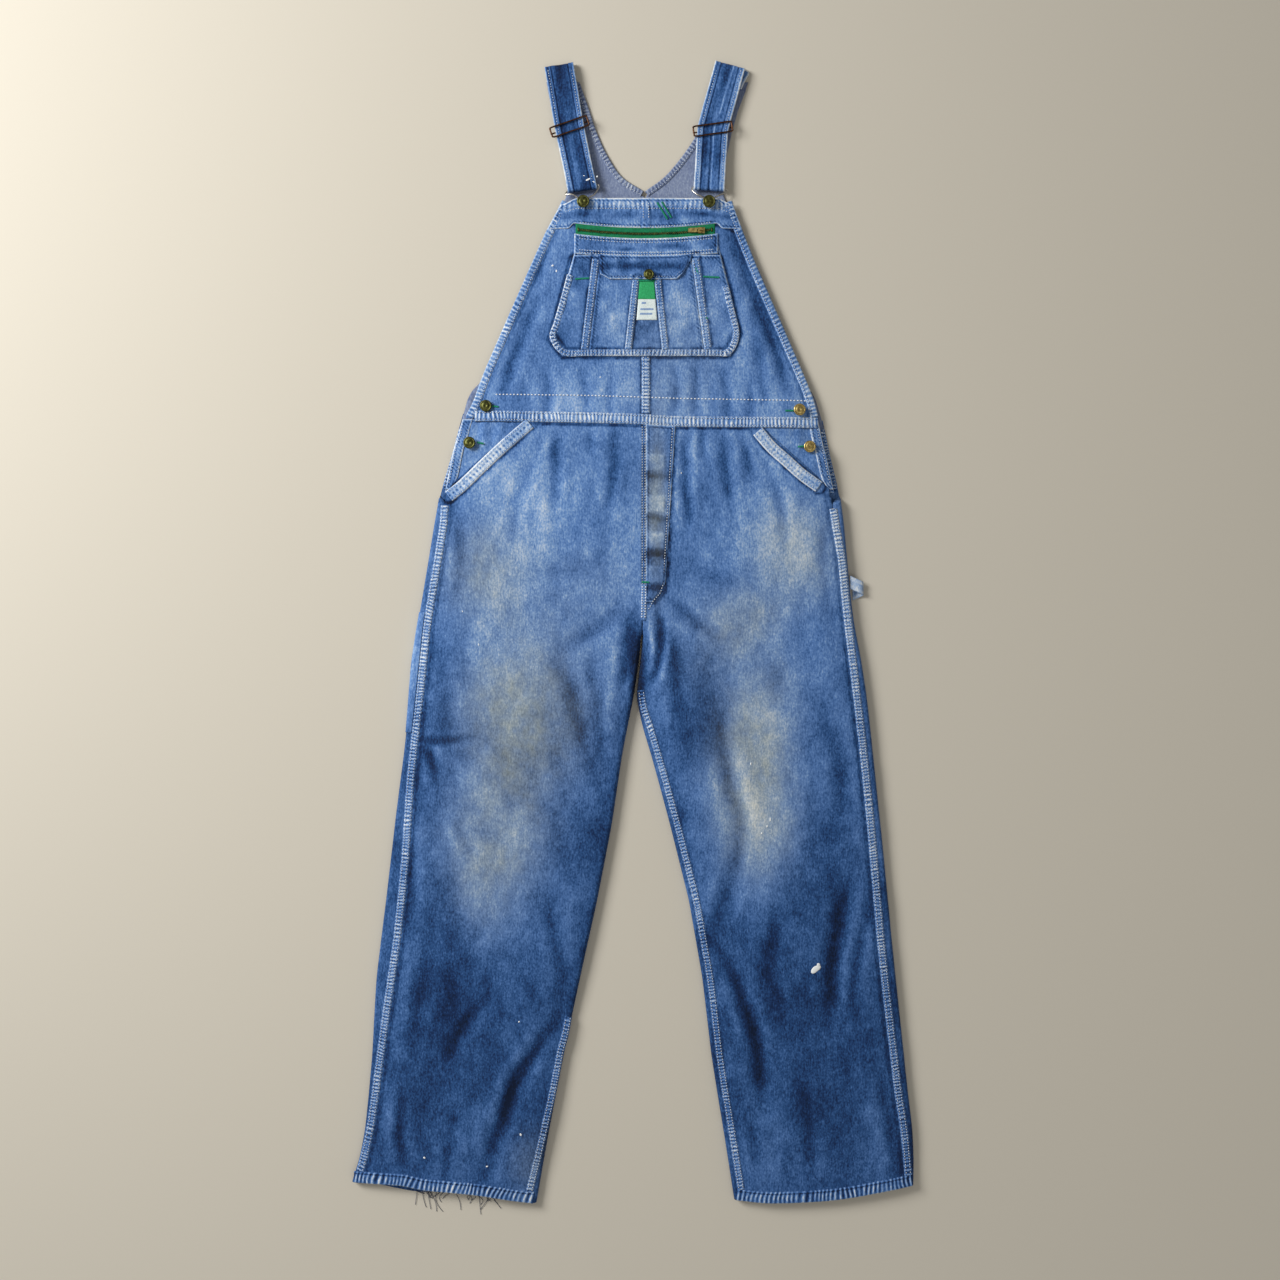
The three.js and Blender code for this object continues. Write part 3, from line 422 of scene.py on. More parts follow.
# Cloth is darker along the foot of a raised seam or edge, partly dye kept there and partly
# painted shade: each line with its half width.
SEAM_FEET = [([(-262, 272), (-211, 272), (2, 268), (49, 265), (250, 263)], 0.6),
             ([(14, 282), (14, 357)], 5.2), ([(-83, 486), (-96, 435), (-112, 379), (-94, 356.5),
        (124, 356.5), (137, 386), (122, 450), (111, 486)], 0.8),
             ([(-118, 527), (-79, 529), (13, 523), (106, 529), (134, 520)], 0.8),
             ([(-79, 488), (13, 485), (108, 488)], 0.8),
             ([(14, 262), (14, 40), (26, 38), (38, 52), (41, 72), (52, 262)], 0.8),
             ([(-136, 269), (-166, 243), (-196, 215), (-222, 190), (-241, 175)], 7.8),
             ([(159, 259), (177, 238), (196, 221), (216, 203), (238, 187)], 7.8)]


POCKET_FEET = [([(-66, 362), (-50, 486)], 4.8), ([(-9, 362), (3, 458)], 4.2),
               ([(40, 362), (29, 458)], 4.2), ([(96, 362), (79, 486)], 4.8),
               ([(-106, 381), (-91, 362), (121, 362), (131, 385)], 4.2)]


def foot_shade(x, y, lines=SEAM_FEET):
    """How dark cloth is at the foot of a seam, from 0 to 1."""
    shade = np.zeros(np.shape(x))
    for points, half in lines:
        p = np.array(points)
        (x0, y0), (x1, y1) = p.min(0) - 20, p.max(0) + 20
        near = (x > x0) & (x < x1) & (y > y0) & (y < y1)
        if near.any():
            d = along_line(points, x[near], y[near])[0]
            uneven = 0.5 + 0.8 * noise(x[near], y[near], 7, 7, 2)
            shade[near] = np.maximum(shade[near], uneven * bell((d - half - 0.8) / 1.9))
    return shade


print("shade at the foot of the centre seam", foot_shade(np.array([19.6]), np.array([320.0])).round(2))

# %% All the shader needs to know about wear, and the painted light and shade
def wear_and_shade(x, y, relief=None, trough=0.0, lift=0.0, feet=True):
    """Tone, soil and rub at [x, y]; relief ridges get painted light and its valleys painted shade."""
    x, y = np.broadcast_arrays(np.asarray(x, float), np.asarray(y, float))
    # Crease troughs are darkened: painted shade.
    tone = tone_at(x, y) + lift - 0.32 * trough
    # The feet of seams are darkened, partly dye kept there and partly painted shade.
    if feet:
        tone = tone - 0.40 * foot_shade(x, y)
    rub = 0.25 * np.clip(noise(x, y, 7, 12, 3) - 0.62, 0, 1)
    # Raised relief is lightened and rubbed pale, hollows darkened: painted light and shade.
    if relief is not None:
        tone = tone + np.clip(0.15 * relief, -0.20, 0.12)
        rub = rub + np.clip(0.35 * relief - 0.1, 0, 0.4)
    return {"tone": tone, "soil": soil_at(x, y), "rub": rub}


print("tone on the right thigh", wear_and_shade(np.array([-150.0]), np.array([0.0]))["tone"].round(2))

# %% [markdown]
# ## Making cloth
# Every piece of cloth is one closed thin layer: a fine grid on its outer face, a grid half as fine
# inside, where nothing shows, and a rim that joins them.

# %% Building meshes from arrays of points
made_triangles = {}


def build(name, points, quads, triangles, material, slot, fields=None, body="garment", nodes=()):
    """A smooth mesh piece from millimetre points, riding on a body and standing for CAD nodes."""
    points = np.asarray(points, float).reshape(-1, 3).copy()
    points[:, :2] += SHIFT
    quads = np.asarray(quads, int).reshape(-1, 4)
    triangles = np.asarray(triangles, int).reshape(-1, 3)
    mesh = bpy.data.meshes.new(name)
    mesh.vertices.add(len(points))
    mesh.vertices.foreach_set("co", (points * MM).astype(np.float32).ravel())
    corners = np.concatenate([quads.ravel(), triangles.ravel()]).astype(np.int32)
    mesh.loops.add(len(corners))
    mesh.loops.foreach_set("vertex_index", corners)
    starts = np.concatenate([4 * np.arange(len(quads)), 4 * len(quads) + 3 * np.arange(len(triangles))])
    mesh.polygons.add(len(starts))
    mesh.polygons.foreach_set("loop_start", starts.astype(np.int32))
    mesh.update(calc_edges=True)
    mesh.polygons.foreach_set("use_smooth", np.ones(len(starts), bool))
    for field, values in (fields or {}).items():
        layer = mesh.attributes.new(field, "FLOAT", "POINT")
        layer.data.foreach_set("value", np.asarray(values, np.float32).ravel())
    mesh.materials.append(material)
    piece = bpy.data.objects.new(name, mesh)
    bpy.context.scene.collection.objects.link(piece)
    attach(piece, body)
    if nodes:
        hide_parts(*nodes)
    made_triangles[name] = 2 * len(quads) + len(triangles)
    return piece


print("pieces made so far", len(made_triangles))

# %% A closed layer from the grid of one face
def normals_of(grid):
    """Unit normals of a grid of points."""
    n = np.cross(np.gradient(grid, axis=1), np.gradient(grid, axis=0))
    return n / np.maximum(np.linalg.norm(n, axis=2, keepdims=True), 1e-9)


def layer_parts(grid, thick, flip=False):
    """Points, quads and triangles of a closed layer under a grid with odd numbers of rows and columns."""
    rows, cols = grid.shape[:2]
    inner = (grid - normals_of(grid) * thick * (-1 if flip else 1))[::2, ::2]
    index = np.arange(rows * cols).reshape(rows, cols)
    below = rows * cols + np.arange(inner.shape[0] * inner.shape[1]).reshape(inner.shape[:2])
    quad = lambda a: np.stack([a[:-1, :-1], a[:-1, 1:], a[1:, 1:], a[1:, :-1]], axis=-1).reshape(-1, 4)
    loop = lambda a: np.concatenate([a[0, :-1], a[:-1, -1], a[-1, :0:-1], a[:0:-1, 0]])
    top, under = loop(index), loop(below)
    top, under = np.append(top, top[0]), np.append(under, under[0])
    a, b, c, i, j = top[:-2:2], top[1::2], top[2::2], under[:-1], under[1:]
    rim = np.concatenate([np.stack(t, -1) for t in ((a, i, b), (i, j, b), (b, j, c))])
    quads = np.concatenate([quad(index), quad(below)[:, ::-1]])
    if flip:
        quads, rim = quads[:, ::-1], rim[:, ::-1]
    return np.concatenate([grid.reshape(-1, 3), inner.reshape(-1, 3)]), quads, rim


# %% A piece of cloth
def cloth(name, grid, thick, fields, nodes=(), flip=False, material=None, slot="denim"):
    """A piece of cloth from the grid of its outer face, with tone, soil and rub fields on the same grid."""
    points, quads, rim = layer_parts(grid, thick, flip)
    both = {k: np.concatenate([np.broadcast_to(v, grid.shape[:2]).ravel(),
            np.broadcast_to(v, grid.shape[:2])[::2, ::2].ravel()]) for k,
            v in fields.items()}
    piece = build(name, points, quads, rim, material or DENIM, slot, both, nodes=nodes)
    diagonal = np.cross(grid[1:, 1:] - grid[:-1, :-1], grid[1:, :-1] - grid[:-1, 1:])
    piece["area"] = float(np.linalg.norm(diagonal, axis=2).sum() / 2 * MM * MM)
    piece["wide"] = float(np.linalg.norm(np.diff(grid, axis=1), axis=2).sum(1).max() * MM)
    piece["long"] = float(np.linalg.norm(np.diff(grid, axis=0), axis=2).sum(0).max() * MM)
    return piece


def odd(length, step):
    """An odd number of points, that step apart or a little less, over a length."""
    return 2 * max(2, int(math.ceil(length / step / 2))) + 1


def relief_of(z, cells=3.0):
    """How far each point of a height grid stands above its surroundings."""
    return z - blurred(z, cells) / blurred(np.ones_like(z), cells)


print("points over 100 mm at 2.2 mm apart", odd(100, 2.2))


# %% [markdown]
# ## Materials
# Every finish below is built from nodes, and each one says what the real material is and how its
# surface came about, because that is what the eye reads in it. Metal and thread are small here,
# so they carry a light and a dark tone and little else; the denim carries the object.

# %% Colours as a shader wants them
def linear(hex_colour):
    """An sRGB hex colour as the linear colour a shader works in."""
    parts = [int(hex_colour[i:i + 2], 16) / 255 for i in (1, 3, 5)]
    return [p / 12.92 if p <= 0.04045 else ((p + 0.055) / 1.055) ** 2.4 for p in parts] + [1.0]


print("mid grey is linear", round(linear("#808080")[0], 3))

# %% One function adds any node
def node(material, kind, settings, inputs):
    """Adds a node; settings are its properties, inputs its sockets, each a value or an output."""
    made = material.node_tree.nodes.new(kind)
    for name, value in settings.items():
        setattr(made, name, value)
    for name, source in inputs.items():
        if isinstance(source, bpy.types.NodeSocket):
            material.node_tree.links.new(source, made.inputs[name])
        else:
            made.inputs[name].default_value = source
    return made


def new_material(name):
    """A material with no nodes yet."""
    material = bpy.data.materials.new(name)
    material.use_nodes = True
    material.node_tree.nodes.clear()
    return material


def set_stops(ramp, stops):
    """Gives a colour ramp its stops, each a place from 0 to 1 and a hex colour."""
    elements = ramp.color_ramp.elements
    while len(elements) < len(stops):
        elements.new(0.5)
    for element, (at, colour) in zip(elements, stops):
        element.position = at
        element.color = linear(colour)
    return ramp.outputs["Color"]


# %% Grain and finish, used by every material
def grain(material, across, along, detail=2.0):
    """Uneven grain from 0 to 1, with that size in millimetres across and along the cloth."""
    place = node(material, "ShaderNodeTexCoord", {}, {}).outputs["Object"]
    per_metre = (1000 / across, 1000 / along, 1000 / across)
    stretched = node(material, "ShaderNodeVectorMath", {"operation": "MULTIPLY"}, {0: place, 1: per_metre})
    return node(material, "ShaderNodeTexNoise", {}, {"Vector": stretched.outputs["Vector"], "Scale": 1.0,
                "Detail": detail, "Roughness": 0.6}).outputs[0]


def surface(material, inputs):
    """Finishes a material with one Principled shader."""
    shader = node(material, "ShaderNodeBsdfPrincipled", {}, inputs)
    node(material, "ShaderNodeOutputMaterial", {}, {"Surface": shader.outputs["BSDF"]})
    return material


# %% [markdown]
# Denim is a cotton twill: indigo warp over an undyed weft. The dye only coats the outside of each
# warp thread, so wear grinds through it and the white core comes up, first on slubs, the thick
# places in ring-spun yarn, which show as short pale flecks down the cloth. It is matt, with a faint
# fuzz. The ramp runs from unwashed indigo to bare thread, so one tone field gives every stage of wear.

# %% Tones of denim
INDIGO = [(0.0, "#0B1830"), (0.18, "#162E57"), (0.32, "#274B7C"), (0.45, "#43679C"), (0.57, "#597DB3"),
          (0.68, "#7798C4"), (0.82, "#A5B9D3"), (1.0, "#DEE2E4")]
UNDYED = [(0.0, "#2B3550"), (0.3, "#4F5D80"), (0.55, "#77839F"), (0.8, "#9AA5B8"), (1.0, "#C4C9D0")]
DIRT = [(0.0, "#3C423E"), (0.45, "#727668"), (0.75, "#979A87"), (1.0, "#C0BEAC")]
TWILL = 1.3         # millimetres between twill lines; real 12 ounce denim has about 0.7, coarsened
MOST_DIRT = 0.86    # some blue always shows through the dirt
print("stops in the ramps", len(INDIGO), len(UNDYED), len(DIRT))


# %% Cloth tone: wear, painted light and shade, slubs, flecks, mottling and bared threads
def worn_and_shaded_tone(material, patterns):
    """The tone field plus each pattern's share of light and dark, plus the rubbed threads."""
    tone = node(material, "ShaderNodeAttribute", {"attribute_name": "tone"}, {}).outputs["Fac"]
    for pattern, amount in patterns:
        centred = node(material, "ShaderNodeMath", {"operation": "SUBTRACT"}, {0: pattern, 1: 0.5})
        tone = node(material, "ShaderNodeMath", {"operation": "MULTIPLY_ADD"},
                    {0: centred.outputs[0], 1: amount, 2: tone}).outputs[0]
    rub = node(material, "ShaderNodeAttribute", {"attribute_name": "rub"}, {}).outputs["Fac"]
    return node(material, "ShaderNodeMath", {"operation": "MULTIPLY_ADD"},
                {0: rub, 1: 0.55, 2: tone}).outputs[0]


# %% Dirt ground into the cloth
def dirtied(material, clean, tone, mottle):
    """Mixes dirt over a colour by the soil field, thicker where the mottling is pale."""
    soil = node(material, "ShaderNodeAttribute", {"attribute_name": "soil"}, {}).outputs["Fac"]
    uneven = node(material, "ShaderNodeMath", {"operation": "MULTIPLY_ADD"}, {0: mottle, 1: 0.7, 2: 0.2})
    share = node(material, "ShaderNodeMath", {"operation": "MULTIPLY"}, {0: soil, 1: uneven.outputs[0]})
    most = node(material, "ShaderNodeMath", {"operation": "MINIMUM"}, {0: share.outputs[0], 1: MOST_DIRT})
    lifted = node(material, "ShaderNodeMath", {"operation": "ADD"}, {0: tone, 1: 0.1})
    dirt = set_stops(node(material, "ShaderNodeValToRGB", {}, {"Fac": lifted.outputs[0]}), DIRT)
    both = node(material, "ShaderNodeMix", {"data_type": "RGBA"}, {0: most.outputs[0], 6: clean, 7: dirt})
    return both.outputs[2]


# %% Denim, inside and out
def denim(name, stops):
    """Washed cotton twill: slub and twill lines in relief, matt, with a little fuzz."""
    material = new_material(name)
    slub = grain(material, 2.0, 10.0)
    fleck = grain(material, 1.9, 3.2, 1.0)
    mottle = grain(material, 14.0, 18.0, 3.0)
    tone = worn_and_shaded_tone(material, [(slub, 0.30), (fleck, 0.44), (mottle, 0.16)])
    clean = set_stops(node(material, "ShaderNodeValToRGB", {}, {"Fac": tone}), stops)
    place = node(material, "ShaderNodeTexCoord", {}, {}).outputs["Object"]
    twill = node(material, "ShaderNodeTexWave", {"bands_direction": "DIAGONAL"},
                 {"Vector": place, "Scale": 100 / TWILL, "Distortion": 1.5, "Detail": 1.0}).outputs["Fac"]
    height = node(material, "ShaderNodeMath", {"operation": "MULTIPLY_ADD"}, {0: twill, 1: 0.35, 2: slub})
    relief = node(material, "ShaderNodeBump", {},
                  {"Height": height.outputs[0], "Strength": 0.5, "Distance": 0.0006})
    return surface(material, {"Base Color": dirtied(material, clean, tone, mottle),
                              "Normal": relief.outputs[0], "Roughness": 0.95,
                              "Specular IOR Level": 0.15, "Sheen Weight": 0.05, "Sheen Roughness": 0.5})


DENIM = denim("washed_indigo_denim", INDIGO)
DENIM_INSIDE = denim("denim_wrong_side", UNDYED)
print("denim nodes", len(DENIM.node_tree.nodes))

# %% [markdown]
# Threads, tape and label are spun or woven yarn of one dyed colour. Their fibres scatter light, so
# they are matt too, and the twist of the yarn gives fine light and dark steps along it. Cotton
# thread has paled in the wash; the zip tape and label have kept their dye, as polyester does,
# and so they are the only strong green on the garment.

# %% Woven and spun cloth of one colour
def plain_cloth(name, light, dark, across=0.9, along=2.0):
    """Yarn of one colour whose threads vary a little."""
    material = new_material(name)
    yarn = grain(material, across, along)
    colour = set_stops(node(material, "ShaderNodeValToRGB", {}, {"Fac": yarn}), [(0.3, dark), (0.7, light)])
    relief = node(material, "ShaderNodeBump", {}, {"Height": yarn, "Strength": 0.4, "Distance": 0.0004})
    return surface(material, {"Base Color": colour, "Normal": relief.outputs[0], "Roughness": 0.85,
                              "Specular IOR Level": 0.3})


THREAD = plain_cloth("cotton_stitching", "#E2E7EA", "#BAC5D0")
HEAVY_THREAD = plain_cloth("heavy_white_stitching", "#F6F8F8", "#DDE3E8")
BLUE_THREAD = plain_cloth("faded_blue_stitching", "#B2C2D8", "#879FC2")
GREEN_THREAD = plain_cloth("green_bartack", "#2FA37C", "#0F7A58")
DARK_THREAD = plain_cloth("indigo_threads", "#2A3B5E", "#16223C")
TAPE = plain_cloth("green_zip_tape", "#108455", "#065A3A")
LABEL_GREEN = plain_cloth("label_green", "#35AE6C", "#238C52")
LABEL_WHITE = plain_cloth("label_white", "#E6EDEA", "#C4D2D0")
LABEL_BAR = plain_cloth("label_bars", "#8FA5C4", "#6F8AB4")
print("cloths", len(bpy.data.materials))

# %% [markdown]
# House paint dries to a skin with a soft shine, brighter than any thread. Tack buttons are
# stamped brass, tarnished olive brown by air and sweat, patchy because hands polish some of it
# again; the zip slider and pull are rubbed bright. The strap sliders are steel wire with a bronzed
# coat that has gone dull, and the bib loops are plated wire, which stays smooth and light.

# %% Paint
PAINT = surface(new_material("dried_white_paint"), {"Base Color": linear("#EDEFEC"), "Roughness": 0.55})
print("paint shines at roughness 0.55")

# %% Metals
PATINA = 3.0        # millimetres across a patch of tarnish


def metal(name, light, dark, rough):
    """A metal whose colour and polish vary together over patches of tarnish."""
    material = new_material(name)
    age = grain(material, PATINA, PATINA, 3.0)
    colour = set_stops(node(material, "ShaderNodeValToRGB", {}, {"Fac": age}),
                       [(0.32, dark), (0.66, light)])
    polish = node(material, "ShaderNodeMath", {"operation": "MULTIPLY_ADD"},
                  {0: age, 1: 0.18, 2: rough - 0.09})
    return surface(material, {"Base Color": colour, "Metallic": 1.0, "Roughness": polish.outputs[0]})


BRASS = metal("tarnished_brass", "#6C6C3C", "#2E321C", 0.45)
GOLD_BRASS = metal("worn_bright_brass", "#D8BE7A", "#9A8650", 0.36)
BRONZE = metal("bronzed_wire", "#6B4A36", "#2E1E18", 0.42)
BRIGHT = metal("plated_wire", "#D6D2CA", "#9C978E", 0.30)
print("materials", len(bpy.data.materials))

# %% [markdown]
# ## Legs
# Each leg is two panels. The back one lies on the surface, rolls up round the outer side, and runs
# in over the top to the outseam; the front one spans from there to the inseam. On the wearer's
# right leg the inseam sits on the rolled inner side and comes up into view only near the hem.

# %% Lines that both panels of a leg share
WAIST_SEAM = [(-260, 281), (-211, 280), (2, 275), (49, 272), (260, 271)]
HEMS = {"r": [(-368, -715), (-305, -718), (-274, -724), (-206, -731), (-145, -740), (-128, -742)],
        "l": [(129, -738), (183, -741), (256, -737), (311, -728), (362, -719)]}
SEAM_X = 10.0
LEG_STEP = 2.2
TURN = {"r": 1, "l": -1}
OUTER = {"r": edge_line("back_leg_r", 0, -712, 166), "l": edge_line("back_leg_l", 1, -716, 166)}
HIP = {"r": edge_line("back_leg_r", 0, 186, 258, soft=8), "l": edge_line("back_leg_l", 1, 186, 258, soft=8)}
INNER = {"r": edge_line("back_leg_r", 1, -738, 4), "l": edge_line("back_leg_l", 0, -734, 4)}
OUTSEAM = {"r": edge_line("front_leg_r", 0, -712, 180), "l": edge_line("front_leg_l", 1, -716, 180)}
MOUTH = {"r": edge_line("front_leg_r", 0, 182, 258, soft=6),
         "l": edge_line("front_leg_l", 1, 192, 258, soft=6)}
BACK_SHARE = {"r": [(-742, 1), (-600, 1), (-540, 0.6), (-480, 0.5), (0, 0.5)],
              "l": [(-742, 1), (-85, 1), (-40, 0.75), (0, 0.5)]}
INNER_RUN = {"r": [(-742, 8), (-672, 3), (-600, 0.5), (0, 0.5)],
             "l": [(-742, 6.5), (-120, 5), (-85, 0.5), (0, 0.5)]}


print("outer sides at the knee", [round(float(line(-150.0)), 1) for line in OUTER.values()])

# %% Rows that bend with the hem and the waist
def follow(points, t):
    """The second number of a list of pairs, looked up by the first."""
    a, b = zip(*points)
    return np.interp(t, a, b)


def leg_shift(side, x, level):
    """How far a row of a leg rises at x: it bends with the hem below and the waist seam above."""
    low = (follow(HEMS[side], x) - HEM) * np.clip((HEM + 110 - level) / 110, 0, 1)
    return low + (follow(WAIST_SEAM, x) - WAIST) * smooth((level - 200) / 62)


def settled(side, line, level):
    """x of a line at the height where the bent row crosses it."""
    x = line(level)
    for _ in range(4):
        x = line(level + leg_shift(side, x, level))
    return x


print("the waist seam rises at the middle by", round(float(leg_shift("r", 0.0, WAIST)), 1), "mm")

# %% What both panels of a leg need at each level
def leg_sides(side, level):
    """What both panels need at each level, as columns of numbers."""
    turn = TURN[side]
    outseam = settled(side, OUTSEAM[side], level)
    start = np.where(level > 181, settled(side, MOUTH[side], level), outseam)
    outer = np.where(level > 176, settled(side, HIP[side], level), settled(side, OUTER[side], level))
    low, high = OUTER[side](166), HIP[side](186)
    outer = np.where(np.abs(level - 176) < 10, low + (high - low) * (level - 166) / 20, outer)
    open_share = smooth((CROTCH - level) / 22)
    inner = np.where(level < CROTCH, settled(side, INNER[side], level), SEAM_X - 0.1 * turn)
    share = follow(BACK_SHARE[side], level)
    back = share * open_share
    centre = inner - turn * FOLD * np.minimum(1, 2 * back)
    run = follow(INNER_RUN[side], level)
    return dict(turn=turn, outseam=outseam, start=start, outer=outer, inner=inner, centre=centre, run=run,
                back=back, front=(1 - share) * open_share, covered=share > 0.995)


print("right inner side at the knee", leg_sides("r", np.array([[-150.0]]))["inner"].round(1))

# %% Front panel of a leg
def front_leg(side):
    """Front panel: flat across the top, then round the inner side as far as it goes."""
    levels = np.linspace(HEM, WAIST, odd(WAIST - HEM, LEG_STEP))[:, None]
    a = leg_sides(side, levels)
    turn, centre = a["turn"], a["centre"]
    end = np.where(a["covered"], centre - turn * a["run"], centre)
    crown = form_height(centre, levels)
    flat = np.abs(end - a["start"])
    arc = a["front"] * math.pi * (FOLD + crown / 2) / 2
    s = np.linspace(0, 1, 95)[None, :] * (flat + arc)
    on_top = s <= flat
    x_top = a["start"] + turn * np.minimum(s, flat)
    y = levels + leg_shift(side, x_top, levels)
    z_top, trough = cloth_height(x_top, y)
    to_seam = np.minimum(s, flat)
    z_top += 0.3 * np.sin(y / 1.45 + 5 * noise(x_top, y, 20, 30, 2)) * bell(to_seam / 9) * (levels < 181)
    angle = math.pi * (0.5 - a["front"] * (s - flat) / np.maximum(arc, 1e-6))
    x = np.where(on_top, x_top, centre + turn * FOLD * np.cos(angle))
    z = np.where(on_top, z_top, z_top[:, -1:] / 2 * (1 + np.sin(angle)))
    relief = relief_of(z_top)
    # The rolled inner side is darkened as painted shade, and a painted shade line, partly dye kept there,
    # runs along the foot of the outseam.
    rolled = np.where(on_top, 0.0, 0.05)
    fields = wear_and_shade(x, y, relief, trough)
    fields["tone"] = fields["tone"] - rolled - 0.16 * bell((to_seam - 8.5) / 2.2) * (levels < 181)
    fields["rub"] = fields["rub"] + 0.2 * bell((levels - HEM - 6) / 8) * noise(x, y, 9, 9, 1)
    grid = np.stack([x, y, z], -1)
    if turn < 0:
        grid = grid[:, ::-1]
        fields = {k: v[:, ::-1] for k, v in fields.items()}
    return cloth("cloth_front_leg_" + side, grid, CLOTH, fields, ["front_leg_" + side])


# %% Back panel of a leg
def side_arc(edge, turn, share, crown, t):
    """Points [x, z] on a rolled side, t from 0 where it meets the surface to 1 at its free end."""
    centre = edge + turn * FOLD * np.minimum(1, 2 * share)
    angle = math.pi * (share * t - 0.5)
    return centre - turn * FOLD * np.cos(angle), crown / 2 * (1 + np.sin(angle))


BACK_DROP = {"r": (-296, 40, 9.0), "l": (250, 60, 2.0)}     # where the back hem hangs lower


def back_leg(side):
    """Back panel: along the surface and up round both sides."""
    levels = np.linspace(HEM, WAIST + 4, odd(WAIST - HEM, 2.6))[:, None]
    a = leg_sides(side, levels)
    turn = a["turn"]
    roll = 1 - smooth((levels - 164) / 14)
    outer_centre = a["outer"] + turn * FOLD * np.minimum(1, 2 * roll)
    top_y = levels + leg_shift(side, outer_centre, levels)
    crown_out = cloth_height(outer_centre, top_y)[0]
    run = np.maximum(np.abs(a["outseam"] - a["outer"]) - FOLD, 0) * roll
    q = np.linspace(1, 0, 10)[None, :-1]
    x1 = outer_centre + turn * run * q
    z1 = np.where(roll > 0.98, cloth_height(x1, levels + leg_shift(side, x1, levels))[0], 0)
    t = np.linspace(1, 0, 13)[None, :]
    x2, z2 = side_arc(a["outer"], turn, roll, crown_out, t)
    z1 = np.where(roll > 0.98, z1, z2[:, :1])
    inner_y = levels + leg_shift(side, a["centre"], levels)
    crown_in = cloth_height(a["centre"], inner_y)[0]
    x4, z4 = side_arc(a["inner"], -turn, a["back"], crown_in, t[:, ::-1])
    x3 = x2[:, -1:] + (x4[:, :1] - x2[:, -1:]) * np.linspace(0, 1, 14)[None, 1:-1]
    q = np.linspace(0, 1, 5)[None, 1:]
    x5 = x4[:, -1:] - turn * a["run"] * q * a["covered"]
    z5 = np.where(a["covered"], cloth_height(x5, levels + leg_shift(side, x5, levels))[0], z4[:, -1:])
    x = np.concatenate([x1, x2, x3, x4, x5], 1)
    z = np.concatenate([z1, z2, 0 * x3, z4, z5], 1)
    if x.shape[1] % 2 == 0:
        x, z = np.delete(x, 26, 1), np.delete(z, 26, 1)
    y = levels + leg_shift(side, x, levels)
    at, wide, drop = BACK_DROP[side]
    y = y - drop * bell((x - at) / wide) * np.clip((HEM + 50 - levels) / 50, 0, 1) * (z < 4)
    fields = wear_and_shade(x, y, None, 0.0, -0.05)
    fields["soil"] = fields["soil"] * 0.5
    return cloth("cloth_back_leg_" + side, np.stack([x, y, z], -1), CLOTH, fields, ["back_leg_" + side],
                 flip=side == "r")


# %% Make the legs
fronts = {side: front_leg(side) for side in "rl"}
backs = {side: back_leg(side) for side in "rl"}
print("leg areas", {p.name: round(p["area"], 3) for p in [*fronts.values(), *backs.values()]})

# %% [markdown]
# ## Seams, hems and stitching
# A felled seam is two panels' edges folded into each other and sewn through twice. It stands proud,
# and because the thread shrinks less than the denim, washing draws it into a ladder of small
# puckers whose tops fade. A hem is the same fold along a free edge, and its puckers lean, which
# makers call roping.

# %% Raised strips along a line
rows_to_sew = []


def above(lift):
    """A height function that stands that far over the front cloth."""
    return lambda x, y: cloth_height(x, y)[0] + lift


def beside(line, offset):
    """A line moved sideways, to the right of its direction."""
    d = np.gradient(line, axis=0)
    d /= np.maximum(np.linalg.norm(d, axis=1, keepdims=True), 1e-9)
    return line + offset * np.column_stack([d[:, 1], -d[:, 0]])


def sew(line, height, kind="cream", pitch=3.5, length=2.5):
    """Adds a row of stitches along a line lying on a surface; they are made together at the end."""
    line = np.asarray(line, float)
    s = np.concatenate([[0], np.cumsum(np.linalg.norm(np.diff(line, axis=0), axis=1))])
    middles = np.arange(pitch, s[-1] - pitch / 2, pitch)
    if len(middles) == 0:
        return
    ends = []
    for shift in (-length / 2, length / 2):
        p = np.column_stack([np.interp(middles + shift, s, line[:, k]) for k in (0, 1)])
        ends.append(np.column_stack([p, height(p[:, 0], p[:, 1])]))
    rows_to_sew.append((kind, ends[0], ends[1]))


print("rows to sew so far", len(rows_to_sew))

